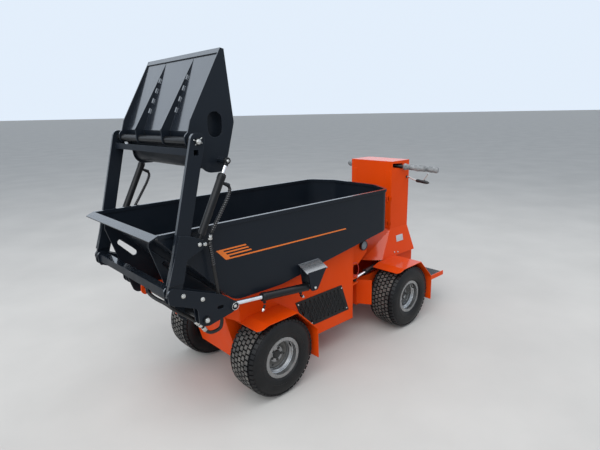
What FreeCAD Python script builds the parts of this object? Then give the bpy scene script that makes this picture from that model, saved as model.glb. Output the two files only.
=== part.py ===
import FreeCAD, Part
import math
import os

from FreeCAD import Placement, Rotation, Vector

# Articulated four-wheel site dumper with a forward-tipping tub and a self-loading shovel.
# Millimetres. X points forward, Y to the machine's left, Z up.
# Every x below is measured from the front axle; node() moves the piece to the frame,
# whose origin is the middle of the machine on the ground.

doc = FreeCAD.newDocument("SiteDumper")
sheet = doc.addObject("Spreadsheet::Sheet", "Sizes")

# alias, value, what it is
SIZES = (
    ("front_axle_x", 571, "front axle, ahead of the frame's origin"),
    ("wheelbase", 1206, "front axle to rear axle"),
    ("tyre_radius", 228.5, "18 inch tyre to the tips of its tread"),
    ("tyre_width", 216, "8.5 inch tyre"),
    ("wheel_track_half", 332, "centreline to the middle of a tyre"),
    ("rim_radius", 115.5, "outside of the rim's flange, 8 inch rim"),
    ("bead_radius", 101.6, "8 inch bead seat"),
    ("rim_width", 186, "over the rim's flanges"),
    ("rim_sheet", 5, "pressed steel of the rim"),
    ("seat_width", 30, "bead seat, from the rim's edge to its well"),
    ("well_radius", 84, "inside of the rim's well"),
    ("disc_depth", 66, "outer flange of the rim to its disc"),
    ("hub_radius", 36, "hub behind the disc"),
    ("stub_radius", 20, "stub shaft that the hub turns on"),
    ("fit_gap", 0.05, "radial running clearance of a pin in its bore"),
    ("face_gap", 0.3, "side clearance beside an eye or hub"),
    ("axle_radius", 32, "axle tube"),
    ("axle_end", 262, "centreline to the axle's flange face"),
    ("tub_half_width", 365, "outside of the tub's side"),
    ("tub_sheet", 5, "tub's sheet"),
    ("tub_top", 1012, "top of the tub's sheet"),
    ("tub_front", 628, "front of the tub's mouth"),
    ("tub_rear", 1086, "tub's rear wall, behind the front axle"),
    ("tub_corner", 990, "start of the tub's rear corner, behind the front axle"),
    ("tub_rear_half", 186, "half of the straight rear wall"),
    ("tub_floor", 622, "flat front part of the tub's floor"),
    ("tub_floor_rear", 768, "floor height at the rear wall"),
    ("floor_break", 60, "where the floor begins to rise, behind the front axle"),
    ("ramp_foot", 254, "where the spout begins to rise"),
    ("rim_tube", 18, "bead around the tub's top edge"),
    ("lip_reach", 40, "spout's lip ahead of the mouth"),
    ("lip_drop", 18, "fall of the lip over its reach"),
    ("tip_base_x", 150, "tipping cylinder's base pin, behind the front axle"),
    ("tip_base_z", 300, "tipping cylinder's base pin"),
    ("tip_rod_x", 180, "tipping cylinder's rod pin"),
    ("tip_rod_z", 580, "tipping cylinder's rod pin"),
    ("tip_ear_gap", 6, "tipping cylinder's rod eye to the tub's ears"),
    ("tip_eye_width", 30, "tipping cylinder's eyes"),
    ("tip_barrel", 25, "tipping cylinder's barrel radius"),
    ("tip_barrel_long", 390, "base pin to the barrel's mouth"),
    ("tip_rod", 14, "tipping cylinder's rod radius"),
    ("steer_barrel", 18, "steering cylinder's barrel radius"),
    ("steer_barrel_long", 345, "base pin to the barrel's mouth"),
    ("steer_rod", 9, "steering cylinder's rod radius"),
    ("shaft_x", 454, "common front shaft"),
    ("shaft_z", 606, "common front shaft"),
    ("shaft_radius", 17.5, "common front shaft"),
    ("gusset_half", 255, "centreline to a gusset under the spout"),
    ("gusset_thick", 8, "gusset plate"),
    ("arm_half", 410, "centreline to the middle of a loader arm"),
    ("arm_thick", 15, "loader arm's flat bar"),
    ("arm_width", 68, "loader arm's flat bar"),
    ("foot_thick", 8, "foot plate at the arm's lower end"),
    ("foot_packing", 14.5, "packing between an arm and its inner foot plate"),
    ("shaft_overhang", 8.5, "front shaft beyond the outer foot plate"),
    ("shovel_shaft_overhang", 6.5, "shovel's shaft beyond an arm"),
    ("cross_tube", 40, "square tube between the feet"),
    ("top_tube", 30, "square tube between the arms' tops"),
    ("shovel_x", 430, "shovel's pivot"),
    ("shovel_z", 1413, "shovel's pivot"),
    ("shovel_shaft_radius", 15, "shovel's pivot shaft"),
    ("sleeve_radius", 18, "spacer sleeve on the shovel's shaft"),
    ("sleeve_gap", 1, "side clearance of a spacer sleeve"),
    ("shovel_half", 350, "outside of the shovel's side plate"),
    ("shovel_side", 6, "shovel's side plate"),
    ("shovel_sheet", 5, "shovel's floor, back and inner sides"),
    ("pocket_depth", 36, "side plate to the inner side, behind the window"),
    ("fin_half", 137, "centreline to a fin under the shovel"),
    ("fin_thick", 8, "fin under the shovel"),
    ("eye_radius", 23, "eye of a fin or side plate on the shovel's shaft"),
    ("lift_half", 403, "centreline to a lift cylinder"),
    ("lift_base_x", 238, "lift cylinder's base pin, behind the front axle"),
    ("lift_base_z", 573, "lift cylinder's base pin"),
    ("lift_rod_x", 298, "lift cylinder's rod pin"),
    ("lift_rod_z", 629, "lift cylinder's rod pin"),
    ("bracket_outer", 438, "outer face of the lift cylinder's bracket"),
    ("lift_barrel", 22, "lift cylinder's barrel radius"),
    ("lift_barrel_long", 352, "base pin to the barrel's mouth"),
    ("lift_rod", 11, "lift cylinder's rod radius"),
    ("tilt_base_x", 461, "tilt cylinder's base pin"),
    ("tilt_base_z", 968, "tilt cylinder's base pin"),
    ("tilt_rod_x", 283, "tilt cylinder's rod pin"),
    ("tilt_rod_z", 1320, "tilt cylinder's rod pin"),
    ("tilt_barrel", 18, "tilt cylinder's barrel radius"),
    ("tilt_barrel_long", 330, "base pin to the barrel's mouth"),
    ("tilt_rod", 9, "tilt cylinder's rod radius"),
    ("pin_radius", 10, "pins of the cylinders"),
    ("eye_width", 26, "eyes of the cylinders"),
    ("hull_half", 195, "outside of the front chassis' side plates"),
    ("hull_plate", 10, "front chassis' side plates"),
    ("belly_z", 165, "underside of the front chassis"),
    ("skin_half", 290, "outside of the front module's side panels"),
    ("skin_plate", 4, "body panels"),
    ("skin_rear", 740, "rear end of the front module, behind the front axle"),
    ("skin_bottom", 172, "lower edge of the side panels"),
    ("fender_half", 450, "outer edge of a fender"),
    ("fender_plate", 4, "fender's sheet"),
    ("hinge_x", 832, "articulation pin, behind the front axle"),
    ("hinge_radius", 20, "articulation pin"),
    ("steer_pin_y", 250, "steering cylinder's rod pin, from the centreline"),
    ("steer_pin_x", 800, "steering cylinder's rod pin, behind the front axle"),
    ("steer_z", 424, "height of the steering cylinder"),
    ("steer_base_x", 86, "steering cylinder's base pin, behind the rear axle"),
    ("steer_base_y", 140, "steering cylinder's base pin, from the centreline"),
    ("rear_front", 306, "front of the rear chassis, ahead of the rear axle"),
    ("rear_back", 359, "back of the rear chassis, behind the rear axle"),
    ("rear_half", 195, "outside of the rear chassis' side plates"),
    ("rear_bottom", 190, "underside of the rear chassis"),
    ("tower_front", 74, "front of the control tower, behind the rear axle"),
    ("tower_back", 291, "back of the control tower, behind the rear axle"),
    ("tower_half", 188, "half width of the control tower"),
    ("tower_top", 1172, "top of the control tower"),
    ("tower_sheet", 4, "control tower's sheet"),
    ("hood_top", 670, "where the tower meets the hood"),
    ("hood_bottom", 470, "lower edge of the rear hood"),
    ("hood_half", 226, "half width of the rear hood's foot"),
    ("grip_x", 320, "handlebar's ends, behind the rear axle"),
    ("grip_z", 1104, "handlebar's ends"),
    ("grip_half", 415, "handlebar's end, from the centreline"),
    ("grip_radius", 25, "padded grip"),
    ("grip_long", 250, "padded grip, from the bar's end"),
    ("bar_radius", 12, "handlebar's tube"),
    ("deck_back", 604, "rear edge of the footboard, behind the rear axle"),
    ("deck_gap", 43.5, "rear tyre to the footboard"),
    ("deck_half", 345, "outside of the footboard"),
    ("deck_z", 240, "top of the footboard"),
)

for row, (alias, value, meaning) in enumerate(SIZES, start=1):
    sheet.set(f"A{row}", meaning)
    sheet.set(f"B{row}", str(value))
    sheet.setAlias(f"B{row}", alias)
doc.recompute()

v = {alias: float(sheet.get(alias)) for alias, value, meaning in SIZES}
rear_axle_x = -v["wheelbase"]
arm_outer = v["arm_half"] + v["arm_thick"] / 2
arm_inner = v["arm_half"] - v["arm_thick"] / 2
foot_inner = arm_inner - v["foot_packing"] - v["foot_thick"]
NODES = []


def behind(distance):
    """x at a distance behind the rear axle."""
    return rear_axle_x - distance


def bind(item, **properties):
    """Set properties; a text is an expression on the sheet's aliases."""
    for name, value in properties.items():
        if isinstance(value, str):
            for alias in sorted(v, key=len, reverse=True):
                value = value.replace("$" + alias, "Sizes." + alias)
            item.setExpression(name, value)
        else:
            setattr(item, name, value)


def edges_of(corners):
    """Lines and arcs through corners (u, w) or (u, w, radius), closed."""
    count = len(corners)
    starts = []
    ends = []
    arcs = []
    for i, corner in enumerate(corners):
        here = Vector(corner[0], corner[1], 0)
        radius = corner[2] if len(corner) > 2 else 0
        if not radius:
            starts.append(here)
            ends.append(here)
            arcs.append(None)
            continue
        before = Vector(corners[i - 1][0], corners[i - 1][1], 0) - here
        after = Vector(corners[(i + 1) % count][0], corners[(i + 1) % count][1], 0) - here
        before.normalize()
        after.normalize()
        half = before.getAngle(after) / 2
        reach = radius / math.tan(half)
        middle = before + after
        middle.normalize()
        centre = here + middle * (radius / math.sin(half))
        ends.append(here + before * reach)
        starts.append(here + after * reach)
        arcs.append(Part.Arc(ends[-1], centre - middle * radius, starts[-1]))
    edges = []
    for i in range(count):
        if arcs[i]:
            edges.append(arcs[i])
        a = starts[i]
        b = ends[(i + 1) % count]
        if a.distanceToPoint(b) > 1e-6:
            edges.append(Part.LineSegment(a, b))
    return edges


def sketch_in(body, name, role, offset, outlines, circles=()):
    """A sketch on one of the body's own planes, with outlines and round holes."""
    sketch = body.newObject("Sketcher::SketchObject", name)
    plane = next(f for f in body.Origin.OriginFeatures if f.Role == role)
    sketch.AttachmentSupport = [(plane, "")]
    sketch.MapMode = "FlatFace"
    sketch.AttachmentOffset = Placement(offset, Rotation())
    for outline in outlines:
        for edge in edges_of(outline):
            sketch.addGeometry(edge)
    for u, w, radius in circles:
        sketch.addGeometry(Part.Circle(Vector(u, w, 0), Vector(0, 0, 1), radius))
    return sketch


def plate(name, role, low, thick, outline, holes=(), circles=()):
    """A flat piece from low to low + thick along the plane's normal (+Y for XZ_Plane)."""
    body = doc.addObject("PartDesign::Body", name)
    start = -(low + thick) if role == "XZ_Plane" else low
    sketch = sketch_in(body, name + "Outline", role, Vector(0, 0, start), [outline, *holes], circles)
    pad = body.newObject("PartDesign::Pad", name + "Pad")
    pad.Profile = sketch
    pad.Length = thick
    body.Tip = pad
    return body


def turned(name, outline, axle_x, axle_z, side=1):
    """A piece turned about a line along Y; outline is (y, radius)."""
    body = doc.addObject("PartDesign::Body", name)
    outline = [(side * point[0], *point[1:]) for point in outline]
    sketch = sketch_in(body, name + "Section", "YZ_Plane", Vector(0, axle_z, axle_x), [outline])
    turn = body.newObject("PartDesign::Revolution", name + "Turn")
    turn.Profile = sketch
    turn.ReferenceAxis = (sketch, ["H_Axis"])
    turn.Angle = 360
    body.Tip = turn
    return body


def box(name, x, y, z, long, wide, tall):
    """Part::Box from its low corner; sizes may be expressions."""
    item = doc.addObject("Part::Box", name)
    bind(item, Length=long, Width=wide, Height=tall)
    item.Placement = Placement(Vector(x, y, z), Rotation())
    return item


def rod(name, start, end, radius):
    """Part::Cylinder between two points; the radius may be an expression."""
    item = doc.addObject("Part::Cylinder", name)
    way = Vector(*end) - Vector(*start)
    bind(item, Radius=radius, Height=way.Length)
    item.Placement = Placement(Vector(*start), Rotation(Vector(0, 0, 1), way))
    return item


def across(name, x, z, low, high, radius):
    """Round bar along Y."""
    return rod(name, (x, low, z), (x, high, z), radius)


def fuse(name, *pieces):
    item = doc.addObject("Part::MultiFuse", name)
    item.Shapes = list(pieces)
    item.Refine = True
    return item


def cut(name, base, tool):
    item = doc.addObject("Part::Cut", name)
    item.Base = base
    item.Tool = tool
    item.Refine = True
    return item


def group(name, *pieces):
    item = doc.addObject("Part::Compound", name)
    item.Links = list(pieces)
    return item


def mirrored(name, piece):
    item = doc.addObject("Part::Mirroring", name)
    item.Source = piece
    item.Normal = Vector(0, 1, 0)
    return item


def pair(name, piece):
    """The piece and its mirror image on the other side of the machine."""
    return group(name, piece, mirrored(name + "Right", piece))


def node(label, item):
    item.Label = label
    item.Placement = Placement(Vector(v["front_axle_x"], 0, 0), Rotation()).multiply(item.Placement)
    NODES.append(item)


def beside(start, end, width):
    """Corners of a straight bar from start to end in a plane."""
    way = Vector(end[0] - start[0], end[1] - start[1], 0)
    way.normalize()
    side = Vector(-way.y, way.x, 0) * (width / 2)
    return [
        (start[0] + side.x, start[1] + side.y),
        (end[0] + side.x, end[1] + side.y),
        (end[0] - side.x, end[1] - side.y),
        (start[0] - side.x, start[1] - side.y),
    ]


def band(points, thick):
    """Closed outline of a bent sheet: points, and their copy set off by thick to the left.

    A point (u, w, radius) is a rounded bend.
    """
    count = len(points)
    ways = []
    for (a, b, *_), (c, d, *_) in zip(points, points[1:]):
        way = Vector(c - a, d - b, 0)
        way.normalize()
        ways.append(way)
    other = []
    for i, (u, w, *bend) in enumerate(points):
        first = ways[max(i - 1, 0)]
        second = ways[min(i, count - 2)]
        left = Vector(-first.y - second.y, first.x + second.x, 0)
        left.normalize()
        reach = thick / math.cos(first.getAngle(second) / 2)
        turn = first.x * second.y - first.y * second.x
        bent = [radius - math.copysign(thick, turn * thick) for radius in bend]
        other.append((u + left.x * reach, w + left.y * reach, *bent))
    return list(points) + other[::-1]


def inset(points, gap):
    """The outline moved in by gap; points run anticlockwise."""
    count = len(points)
    out = []
    for i in range(count):
        a = Vector(*points[i - 1][:2], 0)
        b = Vector(*points[i][:2], 0)
        c = Vector(*points[(i + 1) % count][:2], 0)
        first = b - a
        second = c - b
        first.normalize()
        second.normalize()
        left = Vector(-first.y - second.y, first.x + second.x, 0)
        left.normalize()
        reach = gap / math.cos(first.getAngle(second) / 2)
        point = (b.x + left.x * reach, b.y + left.y * reach)
        radius = points[i][2] if len(points[i]) > 2 else 0
        turn = first.x * second.y - first.y * second.x
        kept = radius - gap if turn > 0 else radius + gap
        out.append((*point, kept) if radius else point)
    return out


# Wheels

def tyre_section():
    half = v["tyre_width"] / 2
    bead = v["rim_width"] / 2 - v["rim_sheet"] - 1
    top = v["tyre_radius"]
    wall = v["rim_radius"] + 44
    shoulder = top - 16
    return [
        (-bead, v["bead_radius"]),
        (-bead, v["rim_radius"] + 1),
        (-half, wall),
        (-half + 4, shoulder),
        (-half + 34, top),
        (half - 34, top),
        (half - 4, shoulder),
        (half, wall),
        (bead, v["rim_radius"] + 1),
        (bead, v["bead_radius"]),
    ]


def rim_section():
    """Flanged barrel with its well, dished disc and hub in one turned section, outer side at plus."""
    half = v["rim_width"] / 2
    skin = v["rim_sheet"]
    seat = v["bead_radius"] - 0.1
    well = v["well_radius"]
    shelf = half - v["seat_width"]
    foot = shelf - (seat - skin - well)
    disc = half - v["disc_depth"]
    bore = v["stub_radius"] + v["fit_gap"]
    hub_in = v["axle_end"] - v["wheel_track_half"] + v["face_gap"]
    return [
        (-half, v["rim_radius"]),
        (-half, seat - skin),
        (-foot, well),
        (disc - skin, well),
        (disc - skin, v["hub_radius"]),
        (hub_in, v["hub_radius"]),
        (hub_in, bore),
        (disc + 2 * skin, bore),
        (disc + 2 * skin, v["hub_radius"] + 8),
        (disc, v["hub_radius"] + 22),
        (disc, well),
        (foot, well),
        (shelf, seat - skin),
        (half, seat - skin),
        (half, v["rim_radius"]),
        (half - skin, v["rim_radius"]),
        (half - skin, seat),
        (-half + skin, seat),
        (-half + skin, v["rim_radius"]),
    ]


# where, axle's x, side of the machine
WHEELS = (
    ("front_left", 0, 1),
    ("front_right", 0, -1),
    ("rear_left", rear_axle_x, 1),
    ("rear_right", rear_axle_x, -1),
)

for where, axle_x, side in WHEELS:
    middle = v["wheel_track_half"]
    tyre = [(y + middle, *rest) for y, *rest in tyre_section()]
    rim = [(y + middle, *rest) for y, *rest in rim_section()]
    node("tyre_" + where, turned("Tyre" + where, tyre, axle_x, v["tyre_radius"], side))
    node("rim_" + where, turned("Rim" + where, rim, axle_x, v["tyre_radius"], side))


def axle(name, axle_x):
    """Axle tube with a stub shaft at each end, which carries the hub."""
    end = v["axle_end"]
    tip = v["wheel_track_half"] + v["rim_width"] / 2 - v["disc_depth"] + 14
    tube = across(name + "Tube", axle_x, v["tyre_radius"], -end, end, "$axle_radius")
    stub = across(name + "Stub", axle_x, v["tyre_radius"], -tip, tip, "$stub_radius")
    return fuse(name, tube, stub)


node("front_axle", axle("FrontAxle", 0))
node("rear_axle", axle("RearAxle", rear_axle_x))


# Fenders: one bent sheet over each wheel, points as (x from the axle, z)

FENDER = ((175, 448), (110, 468), (-96, 472), (-250, 322), (-252, 140))


def fenders(name, axle_x, inner):
    line = [(x + axle_x, z) for x, z in FENDER]
    sheet_band = band(line, v["fender_plate"])
    wide = v["fender_half"] - inner
    bent = plate(name + "Bent", "XZ_Plane", inner, wide, sheet_band)
    rear = line[-1][0] - 2 * v["fender_plate"]
    front = line[0][0] + v["fender_plate"]
    outer = v["fender_half"]
    plan = [(rear, inner), (front, inner), (front, outer, 45), (rear, outer, 12)]
    form = doc.addObject("Part::Common", name + "Left")
    form.Base = bent
    form.Tool = plate(name + "Plan", "XY_Plane", 100, 400, plan)
    return pair(name, form)


node("front_fenders", fenders("FrontFenders", 0, v["hull_half"] + v["face_gap"]))
node("rear_fenders", fenders("RearFenders", rear_axle_x, v["hood_half"] + v["face_gap"]))


# Front chassis

HINGE_LEVELS = (235, 425)
HINGE_EAR = 14


def tub_floor_at(x):
    """Height of the underside of the tub's rising floor."""
    rise = (v["tub_floor_rear"] - v["tub_floor"]) / (v["tub_rear"] - v["floor_break"])
    return v["tub_floor"] - (x + v["floor_break"]) * rise


def front_chassis():
    shaft = (v["shaft_x"], v["shaft_z"], v["shaft_radius"] + v["fit_gap"])
    axle_hole = (0, v["tyre_radius"], v["axle_radius"] + v["fit_gap"])
    lug = 44
    rear = -v["skin_rear"]
    side_outline = [
        (rear, v["belly_z"]),
        (130, v["belly_z"]),
        (152, 250),
        (222, 500),
        (v["shaft_x"] - 14, v["shaft_z"] - lug, 30),
        (v["shaft_x"] + lug - 10, v["shaft_z"] - lug, 24),
        (v["shaft_x"] + lug - 10, v["shaft_z"] + lug - 16, 24),
        (v["shaft_x"] - lug, v["shaft_z"] + lug - 26, 20),
        (150, 588),
        (rear, 588),
    ]
    low = v["hull_half"] - v["hull_plate"]
    left = plate("HullLeft", "XZ_Plane", low, v["hull_plate"], side_outline, circles=[shaft, axle_hole])
    right = mirrored("HullRight", left)
    belly = box("Belly", rear, -low, v["belly_z"], v["skin_rear"] + 130, 2 * low, "$skin_plate")
    inner_skin = v["skin_half"] - v["skin_plate"] - v["face_gap"]
    shelf = box("Shelf", rear, -inner_skin, v["skin_bottom"], v["skin_rear"] - 262, 2 * inner_skin, "$skin_plate")
    nose = plate("Nose", "XZ_Plane", -low, 2 * low, band([(222, 500), (152, 250), (130, v["belly_z"])], -6))
    back = box("Bulkhead", rear, -inner_skin, v["skin_bottom"], 8, 2 * inner_skin, 416)
    pieces = [left, right, belly, shelf, nose, back]
    rest = [(-640, 560), (-580, 560), (-580, tub_floor_at(-580) - 1), (-640, tub_floor_at(-640) - 1)]
    rail = plate("TubRest", "XZ_Plane", -low, 2 * low, rest)
    pieces.append(rail)
    x = -v["tip_base_x"]
    z = v["tip_base_z"]
    ear = [(x - 60, v["belly_z"]), (x + 60, v["belly_z"]), (x + 24, z + 22, 20), (x - 24, z + 22, 20)]
    ear_low = v["tip_eye_width"] / 2 + v["face_gap"]
    for side in (ear_low, -ear_low - 8):
        pieces.append(plate(f"TipEar{side > 0}", "XZ_Plane", side, 8, ear))
    pieces.append(across("TipBasePin", x, z, -ear_low - 8, ear_low + 8, "$pin_radius"))
    for i, level in enumerate(HINGE_LEVELS):
        reach = v["hinge_x"] + 38
        ear = [(-reach, -38, 30), (rear, -90), (rear, 90), (-reach, 38, 30)]
        pieces.append(plate(f"HingeEar{i}", "XY_Plane", level, HINGE_EAR, ear))
    pin_low = (-v["hinge_x"], 0, HINGE_LEVELS[0] - 12)
    pin_high = (-v["hinge_x"], 0, HINGE_LEVELS[1] + HINGE_EAR + 12)
    pieces.append(rod("HingePin", pin_low, pin_high, "$hinge_radius"))
    clevis = [
        (-v["steer_pin_x"] - 20, v["steer_pin_y"] - 22, 18),
        (rear, v["steer_pin_y"] - 30),
        (rear, v["skin_half"] - 4),
        (-v["steer_pin_x"] - 20, v["steer_pin_y"] + 22, 18),
    ]
    for i, level in enumerate((v["steer_z"] - 24, v["steer_z"] + 16)):
        pieces.append(plate(f"SteerEar{i}", "XY_Plane", level, 8, clevis))
    return fuse("FrontChassis", *pieces)


node("front_chassis", front_chassis())
shaft_end = arm_outer + v["foot_thick"] + v["shaft_overhang"]
node("front_shaft", across("FrontShaft", v["shaft_x"], v["shaft_z"], -shaft_end, shaft_end, "$shaft_radius"))


# Side panels with the grille's opening

GRILLE = ((-232, 428), (-612, 428), (-684, 262), (-345, 262), (-270, 345))


def side_panels():
    rear = -v["skin_rear"]
    seat = band(FENDER, -v["face_gap"])[len(FENDER):]
    outline = [
        (rear, v["skin_bottom"]),
        (seat[0][0], v["skin_bottom"]),
        *seat[1:],
        (178, 600),
        (-v["floor_break"], 600),
        (rear, 700),
    ]
    opening = [(x, z) for x, z in GRILLE]
    low = v["skin_half"] - v["skin_plate"]
    side = plate("SidePanel", "XZ_Plane", low, v["skin_plate"], outline, [opening])
    front_edge = [(174, low + 1), (200, v["hull_half"] + v["face_gap"])]
    cheek = plate("Cheek", "XY_Plane", 456, 134, band(front_edge, v["skin_plate"]))
    return pair("SidePanels", fuse("SideAndCheek", side, cheek))


# opening of the expanded metal: pitch and size along x and z
MESH_PITCH = (36, 70)
MESH_OPEN = (28, 60)


def within(point, outline, gap):
    """Whether the point lies inside a convex outline that runs anticlockwise, by gap."""
    for (a, b), (c, d) in zip(outline, outline[1:] + outline[:1]):
        way = Vector(c - a, d - b, 0)
        way.normalize()
        if way.x * (point[1] - b) - way.y * (point[0] - a) < gap:
            return False
    return True


def mesh_in(outline):
    """Staggered diamonds that fit in the outline, clear of its edge."""
    left = min(x for x, z in outline)
    low = min(z for x, z in outline)
    wide, tall = (size / 2 for size in MESH_OPEN)
    diamonds = []
    for row in range(8):
        z = low + 8 + row * MESH_PITCH[1] / 2
        for column in range(17):
            x = left + (column + row % 2 / 2) * MESH_PITCH[0]
            diamond = [(x - wide, z), (x, z - tall), (x + wide, z), (x, z + tall)]
            if all(within(point, outline, 7) for point in diamond):
                diamonds.append(diamond)
    return diamonds


def grilles():
    edge = 12
    outer = [
        (GRILLE[0][0] + edge, GRILLE[0][1] + edge),
        (GRILLE[1][0] - edge, GRILLE[1][1] + edge),
        (GRILLE[2][0] - edge, GRILLE[2][1] - edge),
        (GRILLE[3][0], GRILLE[3][1] - edge),
        (GRILLE[4][0] + edge, GRILLE[4][1]),
    ]
    face = v["skin_half"] + v["face_gap"]
    return pair("SideGrilles", plate("SideGrille", "XZ_Plane", face, 3, outer, mesh_in(outer)))


node("side_panels", side_panels())
node("side_grilles", grilles())
node("engine_block", box("EngineBlock", -620, -150, v["skin_bottom"] + v["skin_plate"], 360, 300, 364))


# Tank behind the bulkhead, under the tub's rear, with its cap

def tank():
    front = -v["skin_rear"]
    outline = [(front, 520), (-850, 520), (-935, 585), (-935, 690), (front, 690)]
    return plate("Tank", "XZ_Plane", -245, 490, outline)


node("rear_tank", tank())
node("filler_cap", across("FillerCap", -888, 643, 245, 265, 34))


# Tub

def spout_at(x):
    """Height of the spout's underside."""
    slope = (v["tub_top"] - v["tub_floor"]) / (v["tub_front"] - v["ramp_foot"])
    return v["tub_floor"] + (x - v["ramp_foot"]) * slope


def tub_side(gap, top):
    """Side view of the tub, set in by gap and closed at the given height."""
    slope = (v["tub_top"] - v["tub_floor"]) / (v["tub_front"] - v["ramp_foot"])
    ahead = v["tub_front"] + (top - v["tub_top"]) / slope
    points = [
        (-v["tub_rear"], top),
        (-v["tub_rear"], v["tub_floor_rear"], 60),
        (-v["floor_break"], v["tub_floor"], 300),
        (v["ramp_foot"], v["tub_floor"], 120),
        (ahead, top),
    ]
    return inset(points, gap) if gap else points


def tub_plan(gap):
    """Top view of the tub, open to the front, set in by gap."""
    half = v["tub_half_width"]
    points = [
        (900, -half),
        (900, half),
        (-v["tub_corner"], half, 70),
        (-v["tub_rear"], v["tub_rear_half"], 70),
        (-v["tub_rear"], -v["tub_rear_half"], 70),
        (-v["tub_corner"], -half, 70),
    ]
    return inset(points, gap) if gap else points


def tub_form(name, gap, top):
    half = v["tub_half_width"] + 10
    side = plate(name + "Side", "XZ_Plane", -half, 2 * half, tub_side(gap, top))
    plan = plate(name + "Plan", "XY_Plane", 500, 700, tub_plan(gap))
    form = doc.addObject("Part::Common", name)
    form.Base = side
    form.Tool = plan
    return form


def tub():
    outer = tub_form("TubOuter", 0, v["tub_top"])
    inner = tub_form("TubInner", v["tub_sheet"], v["tub_top"] + 60)
    return cut("TubSheet", outer, inner)


def tub_rim():
    """Bead on the tub's top edge, round three sides, and the lip at the spout."""
    low = v["tub_top"]
    tube = v["rim_tube"]
    outset = (tube - v["tub_sheet"]) / 2
    front = v["tub_front"]
    outer = plate("RimOuter", "XY_Plane", low, tube, tub_plan(-outset))
    inner = plate("RimInner", "XY_Plane", low - 5, tube + 10, tub_plan(outset + v["tub_sheet"]))
    ahead = box("RimAhead", front, -500, low - 20, 500, 1000, 80)
    ring = cut("RimRing", cut("RimCut", outer, inner), ahead)
    thick = 6
    drop = v["lip_drop"]
    section = band([(front + v["lip_reach"], low + tube - drop), (front, low + tube)], thick)
    wide = v["tub_half_width"] + outset
    lip = plate("Lip", "XZ_Plane", -wide, 2 * wide, section)
    return fuse("TubRim", ring, lip)


def gussets():
    x = v["shaft_x"]
    z = v["shaft_z"]
    outline = [
        (300, spout_at(300) + 1),
        (616, spout_at(616) + 1),
        (622, 955, 12),
        (x + 44, z - 44, 38),
        (x - 44, z - 44, 38),
        (262, 626),
    ]
    slot = [(480, 772, 14), (570, 866, 14), (548, 888, 14), (458, 794, 14)]
    hole = (x, z, v["shaft_radius"] + v["fit_gap"])
    low = v["gusset_half"] - v["gusset_thick"] / 2
    return plate("Gusset", "XZ_Plane", low, v["gusset_thick"], outline, [slot], [hole])


def lift_bracket():
    """Folded bracket on the tub's side that carries the lift cylinder's base pin."""
    x = -v["lift_base_x"]
    z = v["lift_base_z"]
    wall = v["tub_half_width"] - 1
    outer_face = v["bracket_outer"]
    outline = [(x - 94, 668), (x - 22, z - 18, 16), (x + 24, z - 18, 16), (x + 48, 668)]
    inner_outline = [(x - 94, 702), (x - 22, z - 18, 16), (x + 24, z - 18, 16), (x + 48, 702)]
    inner = plate("BracketInner", "XZ_Plane", wall, 9, inner_outline)
    outer = plate("BracketOuter", "XZ_Plane", outer_face - 8, 8, outline)
    slope = band([(wall, 706), (outer_face, 666)], -6)
    cover = plate("BracketCover", "YZ_Plane", x - 104, 162, slope)
    pin = across("BracketPin", x, z, wall, outer_face + 4, "$pin_radius")
    return fuse("Bracket", inner, outer, cover, pin)


def tip_ears():
    """Pair of ears under the tub's floor for the tipping cylinder's rod."""
    x = v["tip_rod_x"]
    z = v["tip_rod_z"]
    outline = [(x - 60, v["tub_floor"] + 2), (x - 20, z - 20, 18), (x + 20, z - 20, 18), (x + 60, v["tub_floor"] + 2)]
    low = v["tip_eye_width"] / 2 + v["tip_ear_gap"]
    return plate("TubEar", "XZ_Plane", low, 8, outline)


def tub_shell():
    carried = [gussets(), lift_bracket(), tip_ears()]
    return fuse("TubShell", tub(), *carried, *(mirrored(p.Name + "Right", p) for p in carried))


node("tub_shell", tub_shell())
node("tub_rim", tub_rim())


# Loader

ARM_TOP = (423, 1448)
ARM_FOOT = (600, 752)


def arm_ears():
    """Doubling plates on the arms that carry the tilt cylinders' base pins."""
    x = v["tilt_base_x"]
    z = v["tilt_base_z"]
    outline = [
        (556, 1024),
        (497, 1010),
        (x - 18, z + 20, 16),
        (x - 20, z - 20, 16),
        (527, 912, 20),
        (552, 812),
        (622, 812),
    ]
    thick = 8
    plates = (
        plate("EarOuter", "XZ_Plane", arm_outer, thick, outline),
        plate("EarInner", "XZ_Plane", arm_inner - thick, thick, outline),
    )
    pin = across("EarPin", x, z, arm_inner - thick, arm_outer + thick, "$pin_radius")
    return fuse("ArmEars", *plates, pin)


def arms():
    bar = beside(ARM_FOOT, ARM_TOP, v["arm_width"])
    bar = [bar[0], (*bar[1], 30), (*bar[2], 30), bar[3]]
    shaft = (v["shovel_x"], v["shovel_z"], v["shovel_shaft_radius"] + v["fit_gap"])
    arm = plate("Arm", "XZ_Plane", arm_inner, v["arm_thick"], bar, circles=[shaft])
    half = arm_outer
    size = v["top_tube"]
    tube = box("TopTube", v["shovel_x"] - 4, -half, 1352, "$top_tube", 2 * half, "$top_tube")
    hollow = box("TopTubeHollow", v["shovel_x"] - 1, -half - 5, 1355, size - 6, 2 * half + 10, size - 6)
    left = fuse("ArmWithEars", arm, arm_ears())
    both = fuse("ArmsAndTube", left, mirrored("ArmRight", left), tube)
    return cut("LoaderArms", both, hollow)


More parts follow.
